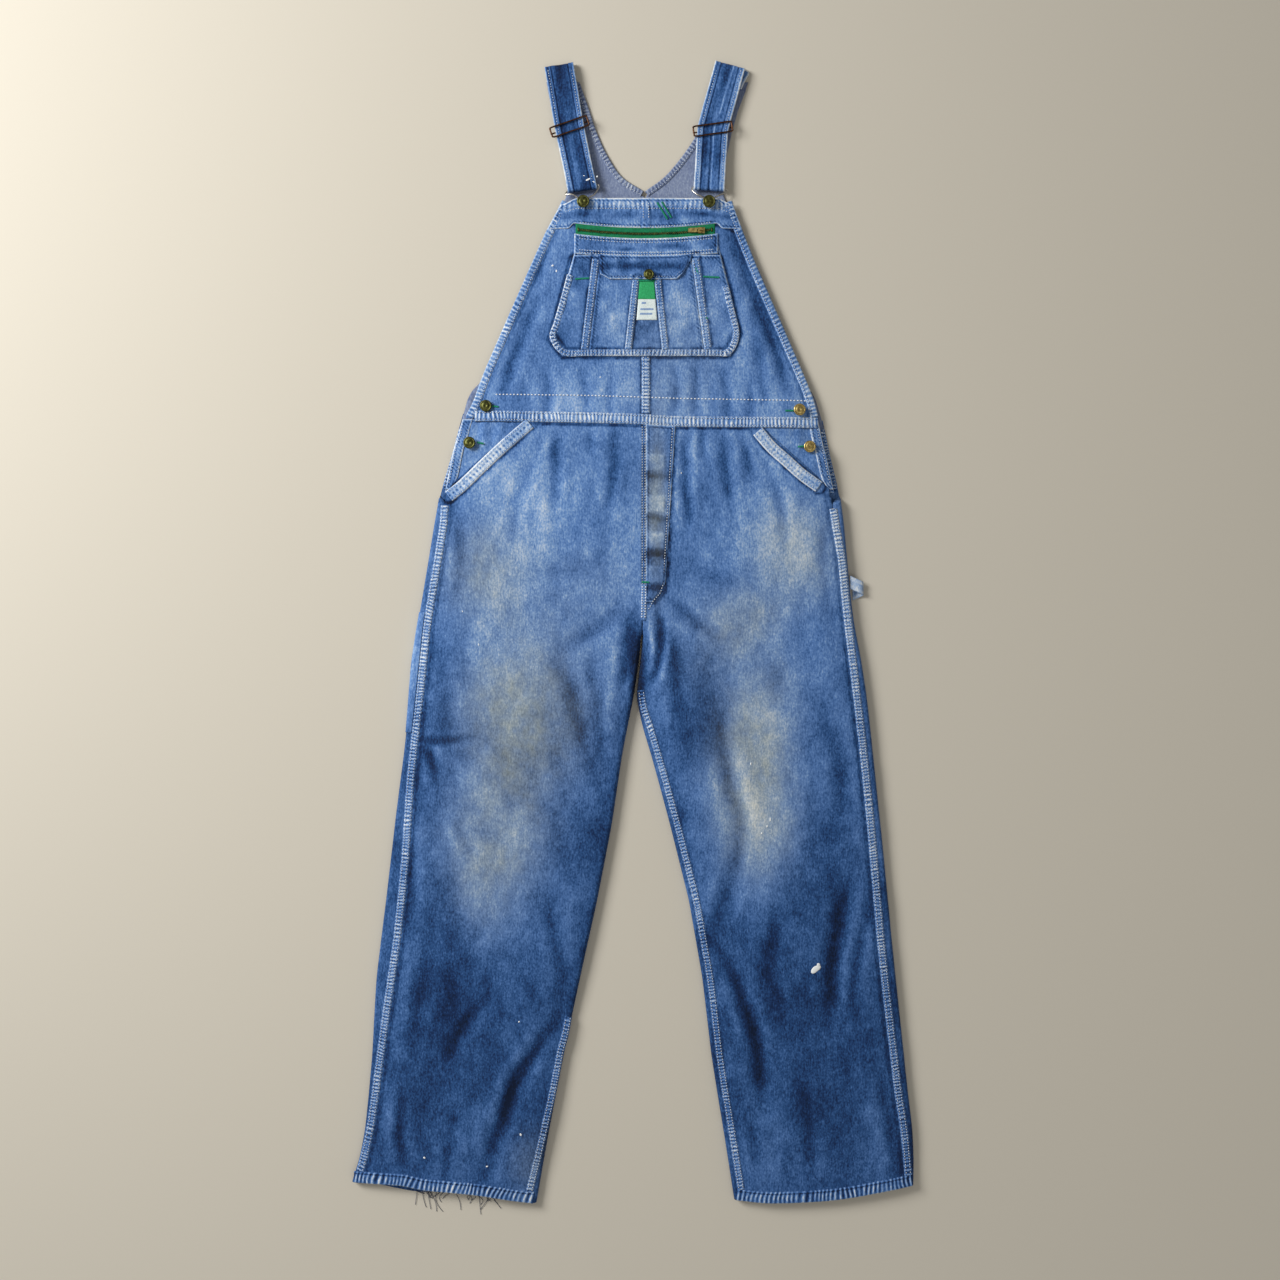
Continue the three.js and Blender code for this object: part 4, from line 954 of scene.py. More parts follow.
# %% A raised strip along a line: hem, felled seam or rim
def strip(name, points, half, rise=0.9, base=0.0, pitch=4.6, depth=0.45, lean=0.0, lift=0.07,
          seams=(-0.55, 0.55), kind="cream", step=1.15, nodes=(), across=9, surface_height=None,
          bars=1.0, dots=0.0, worn=(0.18, 0.18), material=None, slot="denim"):
    """A raised felled seam or hem along a line of points, with puckers, and its rows of stitches.

    bars is how strongly the puckers fade; worn is the bare thread on the first edge and the last.
    """
    height = surface_height or above(base)
    line = curve_through(points, step)
    if len(line) % 2 == 0:
        line = curve_through(points, step * len(line) / (len(line) + 1.2))[:len(line) + 1]
        line = line if len(line) % 2 else line[:-1]
    t = np.linspace(-1, 1, across)[None, :]
    d = np.gradient(line, axis=0)
    d /= np.linalg.norm(d, axis=1, keepdims=True)
    x = line[:, :1] + d[:, 1:] * half * t
    y = line[:, 1:] - d[:, :1] * half * t
    s = np.arange(len(line))[:, None] * step
    edge = np.clip((1 - np.abs(t)) * half / 1.4, 0, 1)
    phase = 2 * math.pi * (s + lean * t * half) / pitch + 9.0 * noise(x, y, 24, 24, 2)
    wave = np.sin(phase) * (0.6 + 0.8 * noise(x, y, 8, 8, 5)) * (1 - 0.45 * t ** 2)
    ditch = sum(bell((t - at) * half / 0.8) for at in seams)
    z = height(x, y) + 0.12 + rise * np.sqrt(edge) + depth * wave * edge - 0.22 * ditch * (rise > 0.3)
    fields = wear_and_shade(x, y, None, 0.0, lift, feet=False)
    dot = dots * bell((np.mod(s, 6.0) - 3) / 1.4) * bell(t * half / 1.3)
    # The stitch ditches are darkened as painted shade; the pucker bars are faded tops.
    fields["tone"] = fields["tone"] + 0.20 * bars * wave - 0.24 * ditch - 0.4 * dot
    fields["rub"] = fields["rub"] + bars * np.clip(0.5 * wave * noise(x, y, 6, 6, 4), 0, 0.45)
    from_edge = (1 - np.abs(t)) * half
    edge_wear = np.where(t < 0, worn[0], worn[1])
    fields["rub"] = fields["rub"] + edge_wear * bell(from_edge / 1.1) * (0.4 + noise(x, y, 5, 5, 1))
    z = z - 0.5 * dot
    piece = cloth(name, np.stack([x, y, z], -1), max(0.45, rise * 0.6), fields, nodes,
                  material=material, slot=slot)
    for at in seams:
        sew(beside(line, at * half), lambda px, py: height(px, py) + rise + 0.05, kind)
    return piece


# %% Outseams and inseams
def seam_line(line_of, low, high, step=26, inset=0.0):
    """Points along a seam, one for each step of y."""
    levels = np.arange(low, high + 1, step)
    x = line_of(levels) + inset
    return np.column_stack([x, levels])


outseams = []
for side in "rl":
    low, high = HEMS[side][0 if side == "r" else -1][1] + 14, 181
    outseams.append(strip("felled_outseam_" + side, seam_line(OUTSEAM[side], low, high, 24), 5.2,
                          1.0, lift=0.17))
join = lambda y: INNER["l"](y) + FOLD + follow(INNER_RUN["l"], y)
inseam_l = strip("felled_inseam_l", seam_line(join, -724, -70, 24), 4.6, 0.9, seams=(-0.6, 0.6),
                 lift=0.15)
join = lambda y: INNER["r"](y) - FOLD - follow(INNER_RUN["r"], y)
line = np.vstack([seam_line(join, -727, -543, 23), [float(join(-522.0)) + 1.2, -522],
                  [float(INNER["r"](-500.0)) - 4.4, -500]])
inseam_r = strip("felled_inseam_r", line, 4.6, 0.9, seams=(-0.6, 0.6), lift=0.17)
print("seams", [piece.name for piece in outseams + [inseam_l, inseam_r]])

# %% Leg hems
hem_strips = []
for side in "rl":
    line = [(x, y + 7.2) for x, y in HEMS[side]]
    first, last = np.array(line[0], float), np.array(line[-1], float)
    line[0], line[-1] = tuple(first + [3.2, 0]), tuple(last - [3.2, 0])
    hem_strips.append(strip("folded_hem_" + side, line, 7.6, 1.25, pitch=6.0, depth=0.5, lean=0.12,
                            lift=0.10, seams=(-0.62,), kind="navy", bars=1.3, across=13,
                            worn=(0.05, 0.7)))
print("seam strips", len(made_triangles))

# %% [markdown]
# ## Bib and back
# The bib is two panels on a felled centre seam, hemmed along the armholes and faced with a band at
# the top. The back rises behind it to a vee whose arms become the straps; laid flat, its undyed
# inside face shows between them.

# %% Bib panels, back panels and the felled waist
BIB_SEAM = 14.0
ARMHOLE = {"r": edge_line("bib_r", 0, 266, 556, soft=8), "l": edge_line("bib_l", 1, 266, 556, soft=8)}
BACK_EDGE = {"r": edge_line("back_bib_r", 0, 266, 708, soft=5),
             "l": edge_line("back_bib_l", 1, 266, 708, soft=5)}
VEE = {"r": edge_line("back_bib_r", 1, 572, 708), "l": edge_line("back_bib_l", 0, 572, 708)}


def top_drop(x):
    """How far the bib's top edge drops at x."""
    return -8 * smooth((np.abs(x - 16) - 90) / 22)


def bib_shift(x, level):
    """How far a row of the bib moves at x, to follow the waist and the top edge."""
    low = (follow(WAIST_SEAM, x) - WAIST) * (1 - smooth((level - WAIST) / 70))
    return low + top_drop(x) * np.clip((level - 520) / 42, 0, 1)


print("the bib's top drops at its corner by", round(float(top_drop(-110.0)), 1), "mm")

# %% Bib panel
def bib_half(side):
    """One half of the bib."""
    levels = np.linspace(WAIST - 3, BIB_TOP, odd(BIB_TOP - WAIST, 1.9))[:, None]
    edge = ARMHOLE[side](levels)
    for _ in range(4):
        edge = ARMHOLE[side](levels + bib_shift(edge, levels))
    ends = (edge, 0 * edge + BIB_SEAM) if side == "r" else (0 * edge + BIB_SEAM, edge)
    x = ends[0] + (ends[1] - ends[0]) * np.linspace(0, 1, 101)[None, :]
    y = levels + bib_shift(x, levels)
    z, trough = cloth_height(x, y)
    fields = wear_and_shade(x, y, relief_of(z), trough)
    # A painted shade line, partly dye kept there, runs along the foot of the armhole hem.
    fields["tone"] = fields["tone"] - 0.16 * bell((np.abs(x - edge) - 13) / 2.0) * (levels < 520)
    z = z - 1.2 * bell(np.abs(x - edge) / 2.5) - 0.9 * bell((levels - WAIST) / 6)
    return cloth("cloth_bib_" + side, np.stack([x, y, z], -1), CLOTH, fields, ["bib_" + side])


# %% Back panel
def back_half(side):
    """One half of the back, up to the arm that its strap is sewn to."""
    levels = np.linspace(WAIST - 2, 716, odd(454, 2.8))[:, None]
    edge = BACK_EDGE[side](levels) + TURN[side] * 7 * bell((levels - 580) / 30)
    middle = np.where(levels < 566, BIB_SEAM - 0.5 * TURN[side], VEE[side](levels))
    ends = (edge, middle) if side == "r" else (middle, edge)
    x = ends[0] + (ends[1] - ends[0]) * np.linspace(0, 1, 41)[None, :]
    y = levels + 0 * x
    z = 1.3 + 1.6 * noise(x, y, 46, 60, 1) * smooth((levels - 262) / 20)
    fields = wear_and_shade(x, y, None, 0.0, -0.02)
    shaded = 0.10 * noise(x, y, 30, 50, 2)
    fields = {"tone": 0.50 + shaded, "soil": 0.08 * fields["soil"], "rub": 0.5 * fields["rub"]}
    # Darker where the bib lies over it: painted shade.
    under_bib_shade = (y > 300) * (y < 556)
    fields["tone"] = fields["tone"] - 0.1 * under_bib_shade
    return cloth("cloth_back_bib_" + side, np.stack([x, y, z], -1), CLOTH, fields, ["back_bib_" + side],
                 material=DENIM_INSIDE, slot="denim_inside")


# %% Make the bib and back panels
bibs = {side: bib_half(side) for side in "rl"}
back_bibs = {side: back_half(side) for side in "rl"}
print("panels", [piece.name for piece in [*bibs.values(), *back_bibs.values()]])

# %% Armhole, vee and side hems
level_of_back = lambda x, y: 1.4 + 1.6 * noise(x, y, 46, 60, 1)
bib_trim = {"r": [], "l": []}
back_trim = {"r": [], "l": []}
for side in "rl":
    turn = TURN[side]
    levels = np.arange(278, 560, 20.0)
    line = np.column_stack([ARMHOLE[side](levels) + turn * 5.0, levels])
    bib_trim[side].append(strip("armhole_hem_" + side, line, 5.2, 0.9, pitch=5.4, depth=0.35,
            seams=(0.5 * turn,), bars=0.7, worn=(0.3, 0.3)))
    levels = np.array([568, 590, 620, 650, 680, 712.0])
    line = np.column_stack([VEE[side](levels) - turn * 4.3, levels])
    if side == "r":
        line[0] = (9.5, 570)
    else:
        line[0] = (15.5, 570)
    back_trim[side].append(strip("vee_hem_" + side, line, 4.2, 0.9, pitch=5.0, depth=0.35,
            seams=(-0.4 * turn,), surface_height=level_of_back,
            material=DENIM_INSIDE, slot="denim_inside", lift=-0.02))
for side in "rl":
    line = [(float(HIP[side](y)) + TURN[side] * 4.6, y) for y in (186, 205, 225, 245, 264)]
    back_trim[side].append(strip("side_opening_hem_" + side, line, 4.2, 1.0, pitch=5.0, depth=0.4,
            lift=0.06, surface_height=lambda x, y: 1.6 + 0 * x))
print("hems on the bib and back", sum(len(trim) for trim in [*bib_trim.values(), *back_trim.values()]))

# %% Waist and centre seams, felled
waist = strip("felled_waist_seam", [(-208, 279.5), (-100, 277.5), (2, 275), (49, 272), (140, 271),
        (237, 270.6)], 7.0, 1.1, base=0.1, pitch=5.0, depth=0.42,
              seams=(-0.62, 0.62), lift=0.09, across=11, worn=(0.3, 0.25))
centre_seam = strip("felled_bib_seam", [(14, 282), (14.4, 320), (14, 358)], 5.4, 0.9, pitch=5.0, lift=0.06)
sew([(-184, 307.5), (-60, 306), (60, 302), (232, 299)], above(0.3), kind="heavy", pitch=4.6, length=3.3)


print("felled", waist.name, centre_seam.name)

# %% [markdown]
# ## Patches
# Pockets, bands, the fly and the label are cut to shape, turned under at their edges, and laid on
# the panel in layers. Each is a little above the last, so that its edge casts a line of shadow.

# %% Patches laid on the front
def patch(name, low, high, left, right, lift, thick=0.8, step=1.45, tone=0.0, extra=None, nodes=(),
          material=None, slot="denim", soil=1.0, puckers=1.0):
    """A patch between low(x) and high(x), left(y) and right(y), its top face that far over the cloth."""
    middle = (low(14.0) + high(14.0)) / 2
    across, tall = right(middle) - left(middle), high(14.0) - low(14.0)
    v = np.linspace(0, 1, odd(abs(tall), step))[:, None]
    u = np.linspace(0, 1, odd(abs(across), step))[None, :]
    y = low(14.0) + tall * v + 0 * u
    for _ in range(5):
        x = left(y) + (right(y) - left(y)) * u
        y = low(x) + (high(x) - low(x)) * v
    base, trough = cloth_height(x, y)
    border = np.minimum(np.minimum(u, 1 - u) * abs(across), np.minimum(v, 1 - v) * abs(tall))
    bumps = 0.6 * (noise(x, y, 13, 15, 6) - 0.5) + 0.35 * (noise(x, y, 5, 6, 7) - 0.5)
    more = extra(x, y) if extra else (0.0, 0.0)
    z = base + lift + bumps - 0.3 * bell(border / 0.9) + more[0]
    # Bumps and creases lighten and darken the tone: painted light and shade.
    fields = wear_and_shade(x, y, 1.4 * bumps, trough, tone, feet=False)
    ripple = np.sin((x + y) * 1.25 + 6 * noise(x, y, 22, 22, 3)) * (0.2 + noise(x, y, 9, 9, 4))
    fields["tone"] = fields["tone"] + puckers * 0.24 * ripple * bell((border - 3.5) / 3.2) + more[1]
    # Darker at the foot of the compartment edges and along the stitch line inside the border: painted
    # shade, partly dye kept there. The very border is worn paler.
    fields["tone"] = fields["tone"] - 0.30 * foot_shade(x, y, POCKET_FEET)
    fields["tone"] = fields["tone"] - 0.26 * bell((border - 3.4) / 0.9) + 0.12 * bell(border / 1.5)
    fields["rub"] = fields["rub"] + 0.75 * bell(border / 1.1) * (0.4 + 0.6 * noise(x, y, 5, 5, 2))
    fields["soil"] = fields["soil"] * soil
    return cloth(name, np.stack([x, y, z], -1), thick, fields, nodes, material=material, slot=slot)


# %% Straight and slanted edges of a patch
def level(value):
    """A level edge at one height."""
    return lambda t: value + 0 * np.asarray(t, float)


def slant(*points):
    """A function through points given as (argument, value)."""
    return lambda t: follow(points, t)


print("a slanted edge halfway", float(slant((0, 0), (10, 4))(5)))

# %% Outline of the bib pocket
ZIP_ENDS = (-77, 104)
zip_middle = lambda x: 522 - 6 * (1 - ((np.asarray(x, float) - 13.5) / 90.5) ** 2)
band_low = lambda x: 490 - 4 * (1 - ((np.asarray(x, float) - 13.5) / 90.5) ** 2)
wing = lambda x: smooth((np.maximum(ZIP_ENDS[0] - x, x - ZIP_ENDS[1]) - 2) / 8)
band_foot = lambda x: zip_middle(np.clip(x, *ZIP_ENDS)) + 7.5 - 6.5 * wing(x)
pocket_r = slant((357, -94), (378, -111), (435, -95), (490, -79), (513, -78))
pocket_l = slant((357, 124), (386, 136), (448, 122), (494, 110), (513, 104))
s1, s2 = slant((357, -61), (486, -45)), slant((357, -5), (486, 9))
s3, s4 = slant((357, 36), (486, 22)), slant((357, 91), (486, 73))
plus = lambda line, by: (lambda y: line(y) + by)

print("zip middle at its centre", round(float(zip_middle(13.5)), 1))

# %% The pocket and its compartments
pocket = patch("cloth_bib_pocket", level(357), lambda x: zip_middle(x) - 8, pocket_r, pocket_l, 1.0,
               nodes=["bib_pocket"], tone=-0.05)
compartments = [patch("cloth_compartment_outer_r", level(358), level(488), plus(pocket_r, 1), s1, 2.1,
                      nodes=["compartment_outer_r"], tone=-0.05),
                patch("cloth_compartment_inner_r", level(358), level(488), plus(s1, 0.3), s2, 1.9,
                      nodes=["compartment_inner_r"], tone=-0.03),
                patch("cloth_compartment_inner_l", level(358), level(488), s3, plus(s4, -0.3), 1.9,
                      nodes=["compartment_inner_l"], tone=0.0),
                patch("cloth_compartment_outer_l", level(358), level(488), s4, plus(pocket_l, -1), 2.1,
                      nodes=["compartment_outer_l"], tone=-0.02)]
print(pocket.name, "with", len(compartments), "compartments")

# %% Compartment edges and the pocket's rim
pocket_trim = []
for name, line, by, low, high in (("s1", s1, -5.2, 366, 484), ("s2", s2, -4.6, 366, 456),
        ("s3", s3, 4.6, 366, 456), ("s4", s4, 5.2, 366, 484)):
    levels = np.linspace(low, high, 7)
    points = np.column_stack([line(levels) + by, levels])
    pocket_trim.append(strip("compartment_edge_" + name, points, 4.8 if name in ("s1", "s4") else 4.2,
                             0.75, base=2.05, pitch=5.2, depth=0.2, seams=(-0.6, 0.6), lift=0.04,
                             bars=0.3, worn=(0.5, 0.5)))
around = [(-76, 505), (-76, 490), (-84, 462), (-91, 435), (-101, 400), (-106, 381), (-91, 362),
          (-60, 361.5), (14, 361.5), (100, 361.5), (121, 362.5), (131, 385), (124, 420), (117, 448),
          (106, 492), (101, 505)]
pocket_trim.append(strip("pocket_rim", around[2:-2], 4.2, 0.7, base=2.05, pitch=4.8, depth=0.4,
                         seams=(-0.45, 0.5), lift=0.04, worn=(0.1, 0.75)))

print("raised edges", len(pocket_trim))

# %% Zip tape and the band above the pocket
tape_relief = lambda x, y: (-0.35 * bell((y - zip_middle(x)) / 1.6), 0.0)
tape = patch("cloth_zip_tape", lambda x: zip_middle(x) - 7.8, lambda x: zip_middle(x) + 7.8, level(-77),
             level(104), 0.9, 0.6, extra=tape_relief, nodes=["zip_tape"], material=TAPE,
             slot="zip_tape")


def band_wave(x, y):
    """Puckers of the band above the pocket, as height and tone."""
    puckers = 0.30 * np.sin(x / 1.05 + 4 * noise(x, y, 20, 20, 1)) * bell((y - zip_middle(x) + 12) / 4)
    dark_row = -0.40 * bell((y - band_low(x) - 12) / 5) * noise(x, y, 30, 6, 2) ** 1.4
    return puckers, dark_row + 0.10 * bell((y - band_low(x) - 5) / 2.5)


pocket_band = patch("cloth_pocket_band", band_low, lambda x: zip_middle(x) - 6.2, level(-78.5),
                    level(107.5), 2.3, 0.9, step=1.1, extra=band_wave, nodes=["pocket_band"], tone=0.04)
for offset in (2.2, 5.4):
    xs_ = np.linspace(-75, 104, 30)
    sew(np.column_stack([xs_, band_low(xs_) + offset]), above(2.4))
    sew(np.column_stack([xs_, zip_middle(xs_) - 6.2 - offset]), above(2.4))

print(tape.name, pocket_band.name)

# %% Band along the top of the bib
top_edge = lambda x: BIB_TOP + top_drop(x)


def top_relief(x, y):
    """Creases of the band along the bib's top, as height and tone with painted light and shade."""
    gather = 0.35 * np.sin(x / 1.3 + 5 * noise(x, y, 30, 30, 4)) * bell((y - 549) / 5)
    gather = gather * noise(x, y, 22, 9, 2)
    seam = 0.7 * smooth((6 - np.abs(x - 14.5)) / 1.5)
    tuck = -0.5 * bell((y - 549) / 1.1)
    bars = np.sin(x / 0.95 + 6 * noise(x, y, 30, 30, 4)) * bell((y - 553) / 6)
    bars = bars * (0.3 + noise(x, y, 9, 9, 1))
    groove_shade = 0.42 * bell((y - 541) / 5) * noise(x, y, 26, 7, 5) ** 1.5
    # The dark band below the tuck and the foot of the centre seam are painted shade, and the tone follows
    # the gathers as painted light and shade; the bars are faded puckers.
    fade = 0.24 * bars + 0.12 * smooth((y - 550) / 3) - groove_shade + 0.35 * gather
    return gather + seam + tuck, fade - 0.12 * bell((np.abs(x - 14.5) - 6.5) / 1.0)


bib_band = patch("cloth_bib_band", band_foot, lambda x: top_edge(x) + 0.4, plus(ARMHOLE["r"], -0.5),
                 plus(ARMHOLE["l"], 0.5), 1.2, 0.9, step=1.2, extra=top_relief, nodes=["bib_band"],
                 tone=0.03)
xs_ = np.linspace(-93, 124, 40)
sew(np.column_stack([xs_, 549 + top_drop(xs_) * 0.7]), above(1.2))
sew(np.column_stack([xs_, 553 + top_drop(xs_) * 0.7]), above(1.25), kind="blue")
xs_ = np.linspace(-74, 101, 30)
sew(np.column_stack([xs_, band_foot(xs_) + 2.0]), above(1.3))
for x in (10.8, 17.8):
    sew([(x, 534), (x, 557)], above(2.0))


print(bib_band.name, "area", round(bib_band["area"] * 1e4, 1), "cm2")

# %% Pocket flap
def flap_relief(x, y):
    """Creases of the flap, as height and tone."""
    corner = 2.4 * bell(np.hypot(x - 70, y - 466) / 12) + 1.2 * bell(np.hypot(x + 42, y - 464) / 10)
    hollow = 0.9 * bell((y - 471) / 5) * (0.5 + noise(x, y, 26, 20, 3))
    roll = 0.9 * bell((y - 461) / 5) - hollow + 0.5 * bell((y - 482) / 4)
    dimple = -0.8 * bell(np.hypot(x - 18, y - 462) / 9)
    shade = 0.30 * bell((y - 473) / 6) * (0.3 + noise(x, y, 24, 20, 3))
    return corner + roll + dimple, 0.06 * bell((y - 459) / 3) - shade


flap = patch("cloth_pocket_flap", slant((-45, 463), (-33, 456.5), (54, 456.5), (62, 464), (72, 482)),
             lambda x: band_low(x) + 1.5, slant((456, -44), (463, -45), (486, -46)),
             slant((456, 66), (486, 73.5)), 3.3, 0.9, step=1.15, extra=flap_relief,
             nodes=["pocket_flap"], tone=-0.04)
sew([(-40, 466), (-31, 460), (52, 460), (60, 468)], above(4.0), kind="blue")

print(flap.name, "area", round(flap["area"] * 1e4, 1), "cm2")

# %% Woven label: two plain colours and three plain bars
label_r, label_l = slant((404, 2), (454, 6)), slant((404, 29), (454, 25))
label_green = patch("cloth_label_green", level(431), level(455), label_r, label_l, 1.75, 0.45,
                    nodes=["label"], material=LABEL_GREEN, slot="label")
label_white = patch("cloth_label_white", level(404), level(431), label_r, label_l, 1.75, 0.45,
                    material=LABEL_WHITE, slot="label")
label_bars = [patch("label_bar_%d" % i, level(y), level(y + 4), plus(label_r, a), plus(label_l, -b),
                    1.9, 0.3, material=LABEL_BAR, slot="label") for i,
              (y, a, b) in enumerate(((424, 4, 12), (416, 3, 3), (410, 3, 5)))]


print(label_green.name, label_white.name, "bars", len(label_bars))
print("bib and pocket done", len(made_triangles))

# %% Fly, hip pockets, tool pocket and hammer loop
FLY_BUTTONS = (219, 165, 118, 74)


def fly_relief(x, y):
    """Bumps over the hidden fly buttons, as height and tone."""
    steps = sum(smooth((13 - np.abs(y - at)) / 5) * smooth((13 - np.abs(x - 27)) / 4) for at in FLY_BUTTONS)
    lines = sum(bell((y - at + 18 + 0.08 * (x - 28)) / 4.5) for at in FLY_BUTTONS)
    edge = 0.4 * np.sin(y / 0.9 + 4 * noise(x, y, 18, 18, 2)) * bell((x - 41 - (y - 76) / 28) / 4)
    return 0.8 * steps - 0.5 * lines + edge, 0.17 * steps - 0.24 * lines - 0.03


fly = patch("cloth_fly", level(38), lambda x: follow(WAIST_SEAM, x) - 6.0, level(14),
            lambda y: 40 + (y - 71) / 15.8 - 18 * (1 - smooth((y - 30) / 36)), 1.1, 0.9, step=1.2,
            extra=fly_relief, nodes=["fly"], tone=-0.09, soil=1.0, puckers=0.5)
for x in (9.5, 13.2):
    sew([(x, 58), (x, 268)], above(0.3 if x < 12 else 1.3))
sew([(37, 70), (49, 268)], above(1.3))
sew([(38, 66), (33, 50), (24, 40), (17, 28)], above(0.8))
crotch = strip("felled_crotch_seam", [(12, 61), (11.5, 36), (11, 14)], 3.6, 0.9, pitch=4.0, bars=0.3,
               seams=(-0.55, 0.6), kind="heavy", worn=(0.3, 0.3))
print(fly.name, crotch.name, "over", len(FLY_BUTTONS), "hidden buttons")

# %% Hip openings: facing, placket and welt
hip_trim = {"r": [], "l": []}
WELTS = {"r": [(-136, 269), (-166, 243), (-196, 215), (-222, 190), (-241, 175)],
         "l": [(159, 259), (177, 238), (196, 221), (216, 203), (238, 187)]}
HIP_FRONT = {"r": edge_line("pocket_facing_r", 0, 186, 260, soft=8),
             "l": edge_line("pocket_facing_l", 1, 186, 260, soft=8)}


def gathers(x, y):
    """Upright gathers of a facing under the waist seam, as height and tone."""
    wave = 0.8 * np.sin(x / 3.1 + 3 * noise(x, y, 16, 20, 3))
    return wave * smooth((y - 222) / 40) * noise(x, y, 16, 40, 1), -0.04


for side in "rl":
    turn = TURN[side]
    front, mouth = HIP_FRONT[side], MOUTH[side]
    inner_end = (lambda f, m, t: lambda y: m(np.maximum(y, 184)) + 14 * t)(front, mouth, turn)
    ends = (front, inner_end) if turn > 0 else (inner_end, front)
    hip_trim[side].append(patch("cloth_pocket_facing_" + side, level(180), level(276), *ends, -1.6, 0.8,
            extra=gathers, nodes=["pocket_facing_" + side], tone=0.02))
    inner_end = (lambda f, t: lambda y: f(y) + t * (13 - 5 * bell((y - 184) / 10)))(front, turn)
    ends = (front, inner_end) if turn > 0 else (inner_end, front)
    hip_trim[side].append(patch("cloth_side_placket_" + side, level(184), level(275.5), *ends, -0.5,
            0.8, step=1.2, nodes=["side_placket_" + side], tone=0.03))
    levels = np.linspace(190, 266, 8)
    sew(np.column_stack([front(levels) + turn * 10.5, levels]), above(-0.6), kind="blue")
    sew(np.column_stack([front(levels) + turn * 3, levels]), above(-0.6))
    hip_trim[side].append(strip("pocket_welt_edge_" + side, WELTS[side], 7.8, 1.15, base=0.1, pitch=6.0,
            depth=0.15, seams=(-0.66, 0.62), lift=0.22, bars=0.25, dots=1.1,
            worn=(0.5, 0.5), nodes=["pocket_welt_" + side], across=13))


print("hip trim", sum(len(trim) for trim in hip_trim.values()))

# %% Tool pocket
def tool_pocket():
    """The tool pocket, which goes on round the side of the leg."""
    levels = np.linspace(-131, 25, odd(156, 2.0))[:, None]
    a = leg_sides("r", levels)
    centre = a["outer"] + FOLD
    crown = cloth_height(centre, levels)[0]
    x1 = a["outseam"] - 5.5 + (centre - a["outseam"] + 5.5) * np.linspace(0, 1, 8)[None, :-1]
    z1 = cloth_height(x1, levels + 0 * x1)[0]
    x2, z2 = side_arc(a["outer"], 1, 1.0, crown, np.linspace(1, 0.22, 12)[None, :])
    grid = np.stack([np.concatenate([x1, x2], 1), np.broadcast_to(levels, (len(levels), 19)),
                     np.concatenate([z1, z2], 1)], -1)
    bars = 0.3 * np.sin(levels / 0.75) * np.ones((1, 19)) * np.linspace(1, 0, 19)[None, :] ** 2
    grid = grid - normals_of(grid) * (1.15 + bars[:, :, None])
    fields = wear_and_shade(grid[..., 0], grid[..., 1], None, 0.0, 0.08)
    return cloth("cloth_tool_pocket", grid, 0.8, fields, ["tool_pocket"], flip=True)


# %% Hammer loop
def hammer_loop():
    """The end of the hammer loop, which shows beside the leg."""
    near = float(OUTER["l"](62)) + 1.0
    path = curve_through([(near, 7.6), (near + 8, 7.9), (294.0, 7.2), (296.6, 4.8), (294.0, 2.6),
                          (288, 1.6), (near + 4, 1.5)], 0.9)
    path = path if len(path) % 2 else path[:-1]
    t = np.linspace(-1, 1, 17)[None, :]
    x = path[:, :1] + 0 * t
    z = path[:, 1:] + 0 * t
    sag = np.linspace(2, -13, len(path))[:, None]
    y = 62 + 8.5 * t + sag
    z = z + 0.35 * bell((np.abs(t) - 0.62) / 0.12) - 0.4 * bell(t / 0.3)
    grid = np.stack([x, y, z], -1)
    fields = {"tone": 0.66 + 0.14 * bell((np.abs(t) - 0.62) / 0.2) + 0.06 * noise(x, y, 4, 4, 1),
              "soil": 0 * x, "rub": 0.15 + 0 * x}
    return cloth("cloth_hammer_loop", grid, 0.9, fields, ["hammer_loop"], flip=False)


# %% Make both
tool = tool_pocket()
loop = hammer_loop()
print("hips done", len(made_triangles), "with", tool.name, "and", loop.name)

# %% [markdown]
# ## Straps
# Each strap is a folded tube of denim, stitched down both borders. It comes off the arm of the
# back, folds over at the shoulder, runs down through the slider, turns round the bar of the bib
# loop, and goes back up underneath to the slider.

# %% Straps
STRAP_MIDDLE = {"r": [(571, -67.5), (655, -85), (737, -99), (760, -103)],
                "l": [(569, 96), (652, 101), (737, 124), (760, 130.4)]}
STRAP_WIDTH = {"r": 38.0, "l": 40.0}
STRAP_END = {"r": 640, "l": 636}
STRAP_THICK = 1.5


def strap_top(x, y):
    """Height of the top face of a strap."""
    return np.interp(y, [576, 592, 615, 640, 672, 700, 722, 740],
                     [11.3, 11.0, 9.7, 9.1, 8.9, 9.0, 9.6, 8.7])


print("top of a strap", np.round(strap_top(np.array([-70.0]), np.array([600.0])), 1), "mm")

